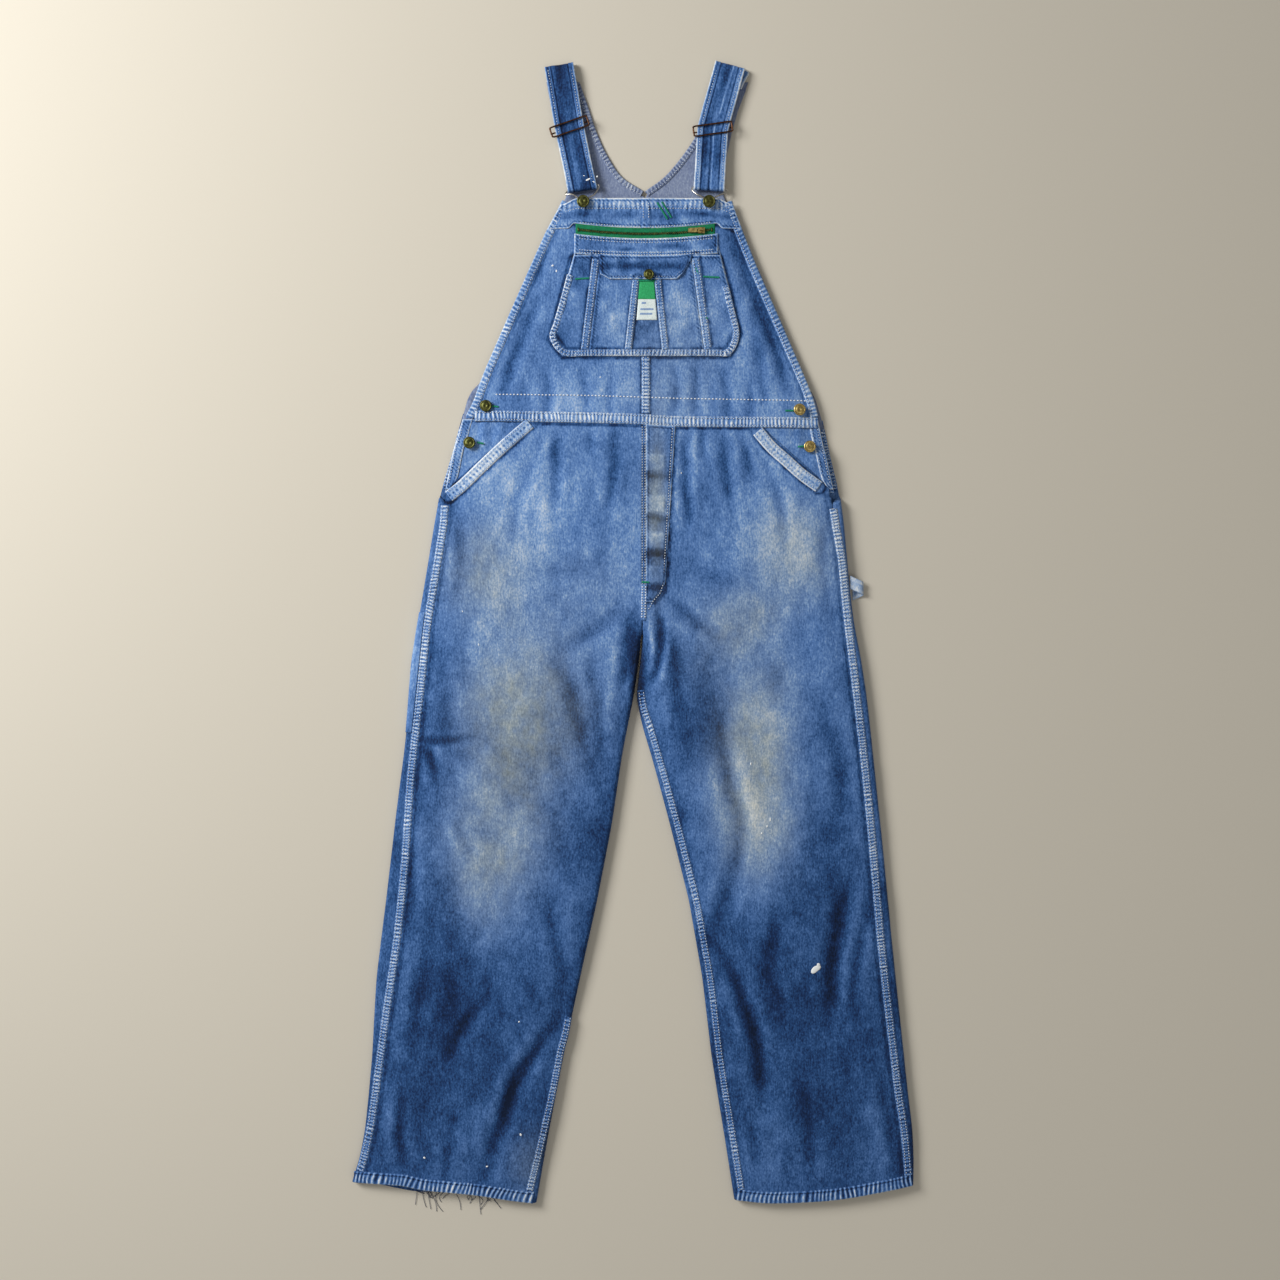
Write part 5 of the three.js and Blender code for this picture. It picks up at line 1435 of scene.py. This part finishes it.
# %% A strap, laid as one folded ribbon
def strap(side):
    """A strap: one ribbon up from the back, over the fold, down and round the bib loop."""
    shoulder = [(733 + 3.7 * math.cos(math.radians(d)),
                 0.8 + 3.7 * (1 + math.sin(math.radians(d)))) for d in range(-90, 91, 30)]
    turn = [(576 + 2.7 * math.cos(math.radians(d)),
             8 + 2.7 * math.sin(math.radians(d))) for d in range(90, 271, 30)]
    path = curve_through([(712, 2.6), (726, 1.6)] + shoulder + [(722, 8.9), (700, 8.3), (672, 8.2),
            (655, 8.3), (640, 8.4), (615, 9.0), (592, 10.3)] + turn + [(592, 5.2), (615, 4.7),
            (STRAP_END[side], 4.7)], 1.9)
    path = path if len(path) % 2 else path[:-1]
    t = np.linspace(-1, 1, 25)[None, :]
    y0, z0 = path[:, :1], path[:, 1:]
    x0 = follow(STRAP_MIDDLE[side], y0)
    if side == "l":
        x0 = x0 + 8 * smooth((4 - z0) / 4) * smooth((y0 - 700) / 12)
    slope = (follow(STRAP_MIDDLE[side], y0 + 9) - follow(STRAP_MIDDLE[side], y0 - 9)) / 18
    half = STRAP_WIDTH[side] / 2
    edge_wave = 0.5 * (noise(y0, 7 * t + 0 * y0, 24, 9, 4) - 0.5) * np.abs(t) ** 3
    x = x0 + (half * t) / np.sqrt(1 + slope ** 2) + edge_wave
    y = y0 - half * t * slope / np.sqrt(1 + slope ** 2)
    z = z0 + 0 * t
    grid = np.stack([x, y, z], -1)
    n = -normals_of(grid)
    s = np.arange(len(path))[:, None] * 1.9
    border = np.clip((np.abs(t) - 0.60) / 0.06, 0, 1)
    lumps = np.sin(2 * math.pi * s / 8.0 + 3 * noise(x, y, 20, 20, 5)) * border
    channel = bell((np.abs(t) - 0.80) / 0.05) + bell((np.abs(t) - 0.60) / 0.05)
    rumples = 1.1 * (noise(x, s, 12, 26, 6) - 0.5) * (1 - border)
    raise_by = 0.30 * border + 0.08 * lumps - 0.3 * channel + rumples
    if side == "l":
        raise_by = raise_by - 0.8 * bell((t * half - 1.0) / 2.0) * smooth((645 - y) / 20) * (z > 6)
    grid = grid + n * (STRAP_THICK / 2 + raise_by[:, :, None])
    fields = wear_and_shade(x, y, 0.6 * raise_by, 0.0, -0.02)
    streak = noise(half * t + 0 * x, y, 3.5, 60, 3) - 0.5
    # The stitch channels are darkened as painted shade.
    fields["tone"] = fields["tone"] + 0.16 * border - 0.30 * channel + 0.30 * streak - 0.10 * bell(t / 0.45)
    fields["tone"] = fields["tone"] - (0.03 if side == "l" else 0.12)
    if side == "l":
        # Along the left strap's crease one side is rubbed pale as a painted highlight and the other
        # darkened as painted shade; higher up a painted highlight runs along a ridge.
        crease = (z > 6) * smooth((664 - y) / 8)
        fields["rub"] = fields["rub"] + 0.8 * crease * bell((t * half - 1.2) / 0.8)
        fields["tone"] = fields["tone"] - 0.25 * crease * bell((t * half + 1.2) / 1.2)
        ridge = (z > 6) * smooth((y - 668) / 8) * bell((t * half - 3 - (y - 670) * 0.03) / 1.0)
        fields["rub"] = fields["rub"] + 0.6 * ridge
    fields["rub"] = fields["rub"] + 0.6 * bell((np.abs(t) - 1) / 0.06)
    fields["rub"] = fields["rub"] + 0.3 * bell((np.abs(t) - 0.7) / 0.04)
    piece = cloth("cloth_strap_" + side, grid, STRAP_THICK, fields, ["strap_" + side], flip=True)
    for at in (-0.8, 0.8):
        ys_ = np.linspace(580, 730, 12)
        xs_ = follow(STRAP_MIDDLE[side], ys_) + at * half
        sew(np.column_stack([xs_, ys_]), strap_top)
    return piece


straps = {side: strap(side) for side in "rl"}


print("straps", [piece.name for piece in straps.values()])

# %% [markdown]
# ## Metal and thread
# Tack buttons are a stamped brass cap rolled over a stem. The slider and the bib loop are bent from
# single wires. The zip is a row of brass teeth clamped on a woven tape.

# %% Turned, bent and stamped metal
def revolve(name, profile, x, y, z, material, nodes, sides=32, slot="brass"):
    """A lathe-turned piece from [radius, height] pairs, first and last on the axis."""
    profile = np.array(profile, float)
    angles = np.arange(sides) * 2 * math.pi / sides
    ring = np.stack([np.cos(angles), np.sin(angles)], -1)
    rings = [np.column_stack([ring * r, np.full(sides, h)]) for r, h in profile[1:-1]]
    points = np.concatenate([[[0, 0, profile[0, 1]]], *rings, [[0, 0, profile[-1, 1]]]]) + [x, y, z]
    index = 1 + np.arange(len(rings) * sides).reshape(len(rings), sides)
    nxt = np.roll(index, -1, 1)
    quads = np.stack([index[:-1], nxt[:-1], nxt[1:], index[1:]], -1).reshape(-1, 4)
    low = np.stack([np.zeros(sides, int), nxt[0], index[0]], -1)
    high = np.stack([np.full(sides, len(points) - 1), index[-1], nxt[-1]], -1)
    return build(name, points, quads, np.concatenate([low, high]), material, slot, nodes=nodes)


# %% Wire bent along a path
def tube_parts(points, radius, closed=False, sides=10):
    """A round wire through points."""
    p = np.array(points, float)
    d = np.roll(p, -1, 0) - np.roll(p, 1, 0) if closed else np.gradient(p, axis=0)
    d /= np.linalg.norm(d, axis=1, keepdims=True)
    up = np.array([0.0, 0.0, 1.0])
    side = np.cross(d, up)
    weak = np.linalg.norm(side, axis=1) < 0.15
    side[weak] = np.cross(d[weak], [0.0, 1.0, 0.0])
    side /= np.linalg.norm(side, axis=1, keepdims=True)
    over = np.cross(side, d)
    angles = np.arange(sides) * 2 * math.pi / sides
    cos, sin = np.cos(angles)[None, :, None], np.sin(angles)[None, :, None]
    ring = p[:, None] + radius * (cos * side[:, None] + sin * over[:, None])
    index = np.arange(len(p) * sides).reshape(len(p), sides)
    after = np.roll(index, -1, 0) if closed else index[1:]
    here = index if closed else index[:-1]
    quads = np.stack([here, np.roll(here, -1, 1), np.roll(after, -1, 1), after], -1).reshape(-1, 4)
    corners = ring.reshape(-1, 3)
    if closed:
        return corners, quads, np.zeros((0, 3), int)
    corners = np.concatenate([corners, p[:1] - d[:1] * radius * 0.6, p[-1:] + d[-1:] * radius * 0.6])
    n = len(p) * sides
    low = np.stack([np.full(sides, n), np.roll(index[0], -1), index[0]], -1)
    high = np.stack([np.full(sides, n + 1), index[-1], np.roll(index[-1], -1)], -1)
    return corners, quads, np.concatenate([low, high])


# %% Joining parts, and the place of a node
def joined(parts):
    """Several (points, quads, triangles) as one."""
    points, quads, triangles, count = [], [], [], 0
    for p, q, t in parts:
        points.append(p)
        quads.append(np.asarray(q, int).reshape(-1, 4) + count)
        triangles.append(np.asarray(t, int).reshape(-1, 3) + count)
        count += len(p)
    return np.concatenate(points), np.concatenate(quads), np.concatenate(triangles)


def node_place(name):
    """Middle of a CAD node in plan millimetres, its lowest z, its highest and half its width."""
    a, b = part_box(name)
    x = (a.x + b.x) / 2 / MM - SHIFT[0]
    y = (a.y + b.y) / 2 / MM - SHIFT[1]
    return x, y, a.z / MM, b.z / MM, (b.x - a.x) / 2 / MM


# %% Tack buttons
CAPS = {"bib_button_r": BRASS, "bib_button_l": BRASS, "side_button_upper_r": BRASS,
        "side_button_lower_r": BRASS, "side_button_upper_l": GOLD_BRASS,
        "side_button_lower_l": GOLD_BRASS, "flap_button": BRASS}
for name, finish in CAPS.items():
    x, y, z0, z1, r = node_place(name)
    top = z1 - z0
    profile = [(0, 0), (2.6, 0), (2.4, top - 3.0), (r - 1.2, top - 3.0), (r - 0.3, top - 2.7),
               (r, top - 1.9), (r - 0.25, top - 1.0), (r - 1.0, top - 0.55), (r - 1.7, top - 0.65),
               (r - 2.1, top - 0.9), (r - 2.7, top - 0.75), (r * 0.5, top - 0.15), (1.6, top),
               (1.2, top - 0.25), (0, top - 0.35)]
    revolve("cap_" + name, profile, x, y, z0, finish, [name])


print("buttons", len(CAPS))

# %% Strap sliders and bib loops
def slider(side):
    """A strap slider of bent wire, with its bar."""
    x, y, z0, z1, _ = node_place("strap_slider_" + side)
    tilt = math.radians({"r": 19, "l": 8}[side])
    c, s = math.cos(tilt), math.sin(tilt)
    a, b, k = 25.0, 6.4, 2.2
    loop_ = [(-a, -b + k), (-a, b - k), (-a + k, b), (0, b), (a - k, b), (a, b - k), (a, -b + k),
             (a - k, -b), (0, -b), (-a + k, -b)]
    dense = curve_through([(p, q, 0.0) for p, q in loop_ + loop_[:1]], 1.2)[:-1]
    top = z1 - 1.1
    frame_wire = tube_parts(dense + [0, 0, top], 1.1, closed=True)
    bar = tube_parts(np.array([(-a, 0.0, top - 5.0), (0, 0, top - 5.0), (a, 0, top - 5.0)]), 1.0)
    posts = [tube_parts(np.array([(e * a, 0.0, top - 5.2), (e * a, 0, top - 2.5), (e * a, 0, top)]),
                        1.15) for e in (-1, 1)]
    points, quads, triangles = joined([frame_wire, bar, *posts])
    turned = points.copy()
    turned[:, 0], turned[:, 1] = points[:, 0] * c - points[:, 1] * s + x, points[:, 0] * s + points[:,
            1] * c + y
    return build("wire_slider_" + side, turned, quads, triangles, BRONZE, "bronze_wire",
                 nodes=["strap_slider_" + side])


def bib_wire(side):
    """A bib loop of bent wire, hooked round its button."""
    bx, by = {"r": (-67, 561), "l": (96, 561)}[side]
    reach = STRAP_WIDTH[side] / 2 + 2.5
    middle = float(follow(STRAP_MIDDLE[side], 576))
    lean = float(follow(STRAP_MIDDLE[side], 572) - follow(STRAP_MIDDLE[side], 580)) / 8
    half = lambda e: [(middle + e * (reach - 2), 576 + e * lean * reach, 8.0),
                      (middle + e * reach, 572 + e * lean * reach, 9.0),
                      (bx + e * (reach - 7), by + 5.5, 12.1), (bx + e * 8, by + 1.5, 12.8),
                      (bx + e * 4.6, by - 3, 12.8), (bx + e * 4.2, by - 8, 12.8)]
    loop_ = half(-1) + [(bx, by - 11, 12.8)] + half(1)[::-1] + [(middle, 576.0, 8.0)]
    dense = curve_through(loop_ + loop_[:1], 1.3)[:-1]
    points, quads, triangles = tube_parts(dense, 1.15, closed=True)
    return build("wire_bib_loop_" + side, points, quads, triangles, BRIGHT, "bright_wire",
                 nodes=["bib_loop_" + side])


sliders = [slider(side) for side in "rl"]
loops = [bib_wire(side) for side in "rl"]


print("wire pieces", [piece.name for piece in sliders + loops])

# %% Zip teeth
def box_parts(x0, x1, y0, y1, z0, z1, inset=0.0):
    """A block whose top is inset on all sides."""
    i = inset
    p = np.array([(x0, y0, z0), (x1, y0, z0), (x1, y1, z0), (x0, y1, z0), (x0 + i, y0 + i, z1),
                  (x1 - i, y0 + i, z1), (x1 - i, y1 - i, z1), (x0 + i, y1 - i, z1)], float)
    q = [(0, 3, 2, 1), (4, 5, 6, 7), (0, 1, 5, 4), (1, 2, 6, 5), (2, 3, 7, 6), (3, 0, 4, 7)]
    return p, np.array(q), np.zeros((0, 3), int)


teeth = []
for i, x in enumerate(np.arange(-71.0, 98.0, 1.3)):
    y = float(zip_middle(x)) + (0.55 if i % 2 else -0.55)
    z = float(cloth_height(np.array([x]), np.array([y]))[0][0]) + 0.7
    teeth.append(box_parts(x - 0.42, x + 0.42, y - 1.5, y + 1.5, z, z + 1.0, 0.12))
for x in (-73.5, 99.5):
    y = float(zip_middle(x))
    z = float(cloth_height(np.array([x]), np.array([y]))[0][0]) + 0.7
    teeth.append(box_parts(x - 1.0, x + 1.0, y - 2.6, y + 2.6, z, z + 1.3, 0.3))
zip_teeth = build("zip_teeth", *joined(teeth), BRASS, "brass")
print(zip_teeth.name, "parts", len(teeth))

# %% Zip slider and pull, which keep their solid shape
for name in ("zip_slider", "zip_pull"):
    metal_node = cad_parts[name]
    metal_node.data.materials.clear()
    metal_node.data.materials.append(GOLD_BRASS)
    bevel = metal_node.modifiers.new("eased_edges", "BEVEL")
    bevel.width = 0.00025
    bevel.segments = 2
    print(name, "keeps", len(metal_node.data.polygons), "faces, edges eased by a quarter of a millimetre")

# %% Bartacks, buttonholes, frayed ends and paint
GREEN_BARS = [((-77, 457), (-60, 458), 2.6), ((89, 460), (109, 459), 2.6), ((79, 471), (82, 464), 2.6),
              ((87, 408), (94, 406), 2.3), ((9, 64), (18, 63.5), 1.9), ((-186, 292), (-177, 291), 0.6),
              ((-204, 245), (-196, 243), 0.4), ((195, 286), (205, 286), 0.6),
              ((211, 239), (220, 240), 0.4), ((29, 556), (42, 535), 2.0), ((35, 557), (47, 537), 2.0),
              ((5, 455), (26, 455), 2.2)]
blocks = []
for (ax, ay), (bx, by), lift in GREEN_BARS:
    n = max(3, int(math.hypot(bx - ax, by - ay) / 0.9))
    for k in range(n + 1):
        x, y = ax + (bx - ax) * k / n, ay + (by - ay) * k / n
        z = float(cloth_height(np.array([x]), np.array([y]))[0][0]) + lift
        dx, dy = (by - ay), -(bx - ax)
        size = 1.05 / math.hypot(dx, dy)
        line = np.array([(x - dx * size, y - dy * size, z), (x, y, z + 0.35),
                         (x + dx * size, y + dy * size, z)])
        blocks.append(tube_parts(line, 0.42, sides=4))
green_bartacks = build("green_bartacks", *joined(blocks), GREEN_THREAD, "zip_tape")


print(green_bartacks.name, len(GREEN_BARS))

# %% Stitching, sewn along every row kept so far
def stitch_parts(a, b, radius):
    """A plump stitch from a to b, sunk at both ends."""
    d = (b - a) / np.linalg.norm(b - a, axis=1, keepdims=True)
    side = np.column_stack([d[:, 1], -d[:, 0], 0 * d[:, 0]])
    up = np.array([0.0, 0.0, 1.0])
    rings = []
    for t, swell in ((0.3, 1.0), (0.7, 1.0)):
        c = a + (b - a) * t + up * 0.12
        corners = ((-1, -0.2), (0, 0.8), (1, -0.2))
        rings.append([c + radius * swell * (side * u + up * v) for u, v in corners])
    points = np.stack([a - up * 0.25, *rings[0], *rings[1], b - up * 0.25], 1).reshape(-1, 3)
    one = np.array([(0, 2, 1), (0, 3, 2), (0, 1, 3), (7, 4, 5), (7, 5, 6), (7, 6, 4)])
    quad = np.array([(1, 2, 5, 4), (2, 3, 6, 5), (3, 1, 4, 6)])
    base = 8 * np.arange(len(a))[:, None, None]
    return points, (quad[None] + base).reshape(-1, 4), (one[None] + base).reshape(-1, 3)


THREADS = {"cream": (THREAD, 0.62), "blue": (BLUE_THREAD, 0.6), "heavy": (HEAVY_THREAD, 0.95),
           "navy": (DARK_THREAD, 0.6)}
stitching = []
for kind, (finish, radius) in THREADS.items():
    rows = [r for r in rows_to_sew if r[0] == kind]
    a, b = np.concatenate([r[1] for r in rows]), np.concatenate([r[2] for r in rows])
    stitching.append(build("stitching_" + kind, *stitch_parts(a, b, radius), finish, "denim"))
    print(kind, "stitches", len(a))

print("stitched pieces", [piece.name for piece in stitching])

# %% Frayed ends at the right hem
rng = np.random.default_rng(11)
frays = []
for k in range(26):
    x = -286 + 106 * rng.random()
    hem_y = float(follow(HEMS["r"], x)) - 7
    n = 9
    reach = 6 + 22 * rng.random() ** 2
    lean = rng.normal(0, 7)
    curl = rng.normal(0, 4)
    s = np.linspace(0, 1, n)
    line = np.column_stack([x + lean * s + curl * np.sin(3 * s), hem_y + 3 - reach * s, 0.9 - 0.45 * s])
    frays.append(tube_parts(line, 0.3, sides=5))
frayed = build("frayed_hem_threads", *joined(frays), DARK_THREAD, "denim")

print(frayed.name, "threads", len(frays))

# %% Dried paint
SPOTS = [(234, -437, 6.6, 4.4, 35), (237.5, -431.5, 2.6, 2.0, 0), (-273, -682, 1.5, 1.2, 0),
         (-148, -652, 1.3, 1.8, 0), (-192, -694, 1.4, 1.0, 30), (-107, 475, 1.5, 1.2, 0),
         (-102, 468, 1.1, 1.4, 0), (-127, 479, 1.2, 1.0, 0), (175, -243, 0.9, 2.4, 5),
         (171, -252, 0.8, 1.6, 0), (164, -261, 0.9, 1.3, 0), (150, -171, 1.0, 1.5, 10),
         (-202, -17, 0.7, 1.3, 20), (60, 205, 0.8, 1.0, 0), (-223, 26, 0.7, 1.1, 0),
         (-45, 330, 1.0, 0.8, 0), (-150, -505, 0.9, 1.2, 0)]
STRAP_SPOTS = [(-61, 586, 3.6, 1.5, 28), (-53, 583, 2.2, 1.0, -20), (-66, 591, 1.3, 0.8, 0),
               (-49, 590, 0.9, 1.4, 0)]


def drop_parts(x, y, a, b, tilt, height):
    """A low round-edged drop of paint with a wavering outline, lying on a surface."""
    angles = np.arange(14) * 2 * math.pi / 14
    wobble = 1 + 0.16 * np.sin(2 * angles + x) + 0.08 * np.sin(3 * angles + y)
    c, s = math.cos(math.radians(tilt)), math.sin(math.radians(tilt))
    across = a * np.cos(angles) * c - b * np.sin(angles) * s
    along = a * np.cos(angles) * s + b * np.sin(angles) * c
    rings = []
    for share, rise in ((1.0, -0.3), (1.0, 0.18), (0.75, 0.42)):
        px, py = x + share * wobble * across, y + share * wobble * along
        rings.append(np.column_stack([px, py, height(px, py) + rise]))
    z = float(height(np.array([x]), np.array([y]))[0])
    points = np.concatenate([[[x, y, z - 0.3]], *rings, [[x, y, z + 0.5]]])
    index = 1 + np.arange(42).reshape(3, 14)
    nxt = np.roll(index, -1, 1)
    quads = np.stack([index[:-1], nxt[:-1], nxt[1:], index[1:]], -1).reshape(-1, 4)
    low = np.stack([np.zeros(14, int), nxt[0], index[0]], -1)
    high = np.stack([np.full(14, 43), index[-1], nxt[-1]], -1)
    return points, quads, np.concatenate([low, high])


drops = [drop_parts(*spot, above(0)) for spot in SPOTS]
drops += [drop_parts(*spot, strap_top) for spot in STRAP_SPOTS]
paint_spots = build("paint_spots", *joined(drops), PAINT, "denim")
print("paint drops", len(drops), "in", paint_spots.name)
print("all pieces", len(made_triangles))

# %% [markdown]
# ## What each cloth was cut from
# A pattern cutter lays a tape round a panel at one level after another. The same is done here on
# the frame's solids, which have no creases: the line round a thin wall at one level is twice the
# cloth's width there. The cloth made above has no part in it, so its area can be held against
# the cut, and the two differ where a panel runs on under its neighbour.

# %% The line round a panel at one level
def way_round(points, triangles, height):
    """Length of the line in which the plane y = height cuts a solid's skin."""
    corners = points[triangles]
    above = corners[:, :, 1] - height
    total = 0.0
    for corner in corners[(above.min(1) < 0) & (above.max(1) > 0)]:
        ends = []
        for p, q in zip(corner, np.roll(corner, -1, axis=0)):
            if (p[1] - height) * (q[1] - height) < 0:
                ends.append(p + (q - p) * (height - p[1]) / (q[1] - p[1]))
        if len(ends) == 2:
            total += np.linalg.norm(ends[1] - ends[0])
    return total


print("round the right bib at its middle", round(way_round(*node_mesh("bib_r"), 400.1), 1), "mm")

# %% Thickness of a wall
def wall_of(points, triangles):
    """A wall's thickness: its volume over half its skin."""
    a, b, c = (points[triangles[:, k]] for k in range(3))
    volume = abs(np.einsum("ij,ij->i", a, np.cross(b, c)).sum()) / 6
    skin = np.linalg.norm(np.cross(b - a, c - a), axis=1).sum() / 2
    return 2 * volume / skin


print("wall of the right bib", round(wall_of(*node_mesh("bib_r")), 2), "mm")

# %% Width, length and area of a flat panel
TAPE_STEP = 3.0     # millimetres from one level to the next


def cut_of(name, along=(0.0, 1.0), between=(-1000, 1000)):
    """Width, length and area of the flat cloth that a node stands for, with its grain that way."""
    points, triangles = node_mesh(name)
    turn = math.atan2(along[0], along[1])
    turned = np.array([[math.cos(turn), math.sin(turn)], [-math.sin(turn), math.cos(turn)]])
    points[:, :2] = points[:, :2] @ turned
    thick = wall_of(points, triangles)
    start, end = max(points[:, 1].min(), between[0]), min(points[:, 1].max(), between[1])
    count = max(6, int((end - start) / TAPE_STEP))
    levels = start + (np.arange(count) + 0.5) * (end - start) / count
    widths = [max(0.0, way_round(points, triangles, height) / 2 - thick) for height in levels]
    return max(widths), end - start, sum(widths) * (end - start) / count


print("cut of the right bib", [round(float(size), 1) for size in cut_of("bib_r")])

# %% Printing a sheet's cut
def declare(name, cut):
    """Prints what a piece was cut from and how much of it was made."""
    wide, long, area = (float(size) for size in cut)
    piece = bpy.data.objects[name]
    made = piece["area"] / (area * MM * MM)
    print("cut", name, round(wide, 1), "x", round(long, 1), "mm,", round(area / 100, 1),
          "cm2; made / cut", round(made, 3))


# %% Legs
for side in "rl":
    declare("cloth_back_leg_" + side, cut_of("back_leg_" + side))
    declare("cloth_front_leg_" + side, cut_of("front_leg_" + side))
declare("cloth_fly", cut_of("fly"))

# %% Back and bib
for side in "rl":
    declare("cloth_back_bib_" + side, cut_of("back_bib_" + side))
    declare("cloth_bib_" + side, cut_of("bib_" + side))
declare("cloth_bib_band", cut_of("bib_band"))

# %% Bib pocket, from the bib up
declare("cloth_zip_tape", cut_of("zip_tape"))
declare("cloth_bib_pocket", cut_of("bib_pocket"))
declare("cloth_pocket_band", cut_of("pocket_band"))
for number, place in enumerate(("outer_r", "inner_r", "inner_l", "outer_l"), start=1):
    declare("cloth_compartment_" + place, cut_of("compartment_" + place))
declare("cloth_pocket_flap", cut_of("pocket_flap"))

# %% Label: one woven piece, green above the line where its colours meet
COLOURS_MEET = 431
declare("cloth_label_green", cut_of("label", between=(COLOURS_MEET, 1000)))
declare("cloth_label_white", cut_of("label", between=(-1000, COLOURS_MEET)))

# %% Hip openings; a welt's grain runs along the pocket's mouth
for side in "rl":
    mouth = np.subtract(WELTS[side][0], WELTS[side][-1])
    declare("cloth_pocket_facing_" + side, cut_of("pocket_facing_" + side))
    declare("cloth_side_placket_" + side, cut_of("side_placket_" + side))
    declare("pocket_welt_edge_" + side, cut_of("pocket_welt_" + side, mouth))
declare("cloth_tool_pocket", cut_of("tool_pocket"))
declare("cloth_hammer_loop", cut_of("hammer_loop"))

# %% Straps: a folded ribbon, so its length is its area over its width
for side in "rl":
    area = cut_of("strap_" + side)[2]
    declare("cloth_strap_" + side, (STRAP_WIDTH[side], area / STRAP_WIDTH[side], area))

# %% [markdown]
# ## Light, floor and camera
# The garment lies on a plain pale floor under one large soft light from its upper left, with a
# faint fill from all round, so that each seam and fold throws a short soft shadow.

# %% Floor, lights and camera
floor_mesh = bpy.data.meshes.new("floor")
floor_mesh.from_pydata([(-6, -6, -0.0004), (6, -6, -0.0004), (6, 6, -0.0004), (-6, 6, -0.0004)], [],
                       [(0, 1, 2, 3)])
floor = bpy.data.objects.new("floor", floor_mesh)
bpy.context.scene.collection.objects.link(floor)
floor.data.materials.append(surface(new_material("pale_floor"),
        {"Base Color": linear("#C8C1B2"), "Roughness": 0.85}))


print("floor", floor.name, "at", round(floor.data.vertices[0].co.z, 4), "m")

# %% Soft lights
def soft_light(name, size, power, place, target):
    """A square area light aimed at a target."""
    lamp = bpy.data.lights.new(name, "AREA")
    lamp.shape = "SQUARE"
    lamp.size = size
    lamp.energy = power
    holder = bpy.data.objects.new(name, lamp)
    bpy.context.scene.collection.objects.link(holder)
    holder.location = place
    holder.rotation_euler = (Vector(target) - Vector(place)).to_track_quat("-Z", "Y").to_euler()
    return holder


soft_light("window", 1.2, 102, (-2.2, 1.25, 1.7), (0, 0, 0))
soft_light("fill", 2.5, 14, (0.6, -1.6, 2.8), (0, 0, 0))
world = bpy.data.worlds.new("studio")
world.use_nodes = True
world.node_tree.nodes["Background"].inputs["Color"].default_value = (1.0, 0.99, 0.97, 1.0)
world.node_tree.nodes["Background"].inputs["Strength"].default_value = 0.25
bpy.context.scene.world = world

# %% Camera, straight above
camera = bpy.data.objects.new("camera", bpy.data.cameras.new("camera"))
bpy.context.scene.collection.objects.link(camera)
camera.location = (0.0091, -0.0115, 1.80)
camera.data.sensor_width = 36.0
camera.data.lens = 38.8
camera.data.clip_start = 0.05
camera.data.clip_end = 50.0
bpy.context.scene.camera = camera
bpy.context.scene.view_settings.view_transform = "Standard"
framed = camera.location.z * camera.data.sensor_width / camera.data.lens
print("the camera frames", round(framed, 2), "m of floor")

# %% Sizes and the end
print("triangles", sum(made_triangles.values()), "most", max(made_triangles.items(), key=lambda kv: kv[1]))
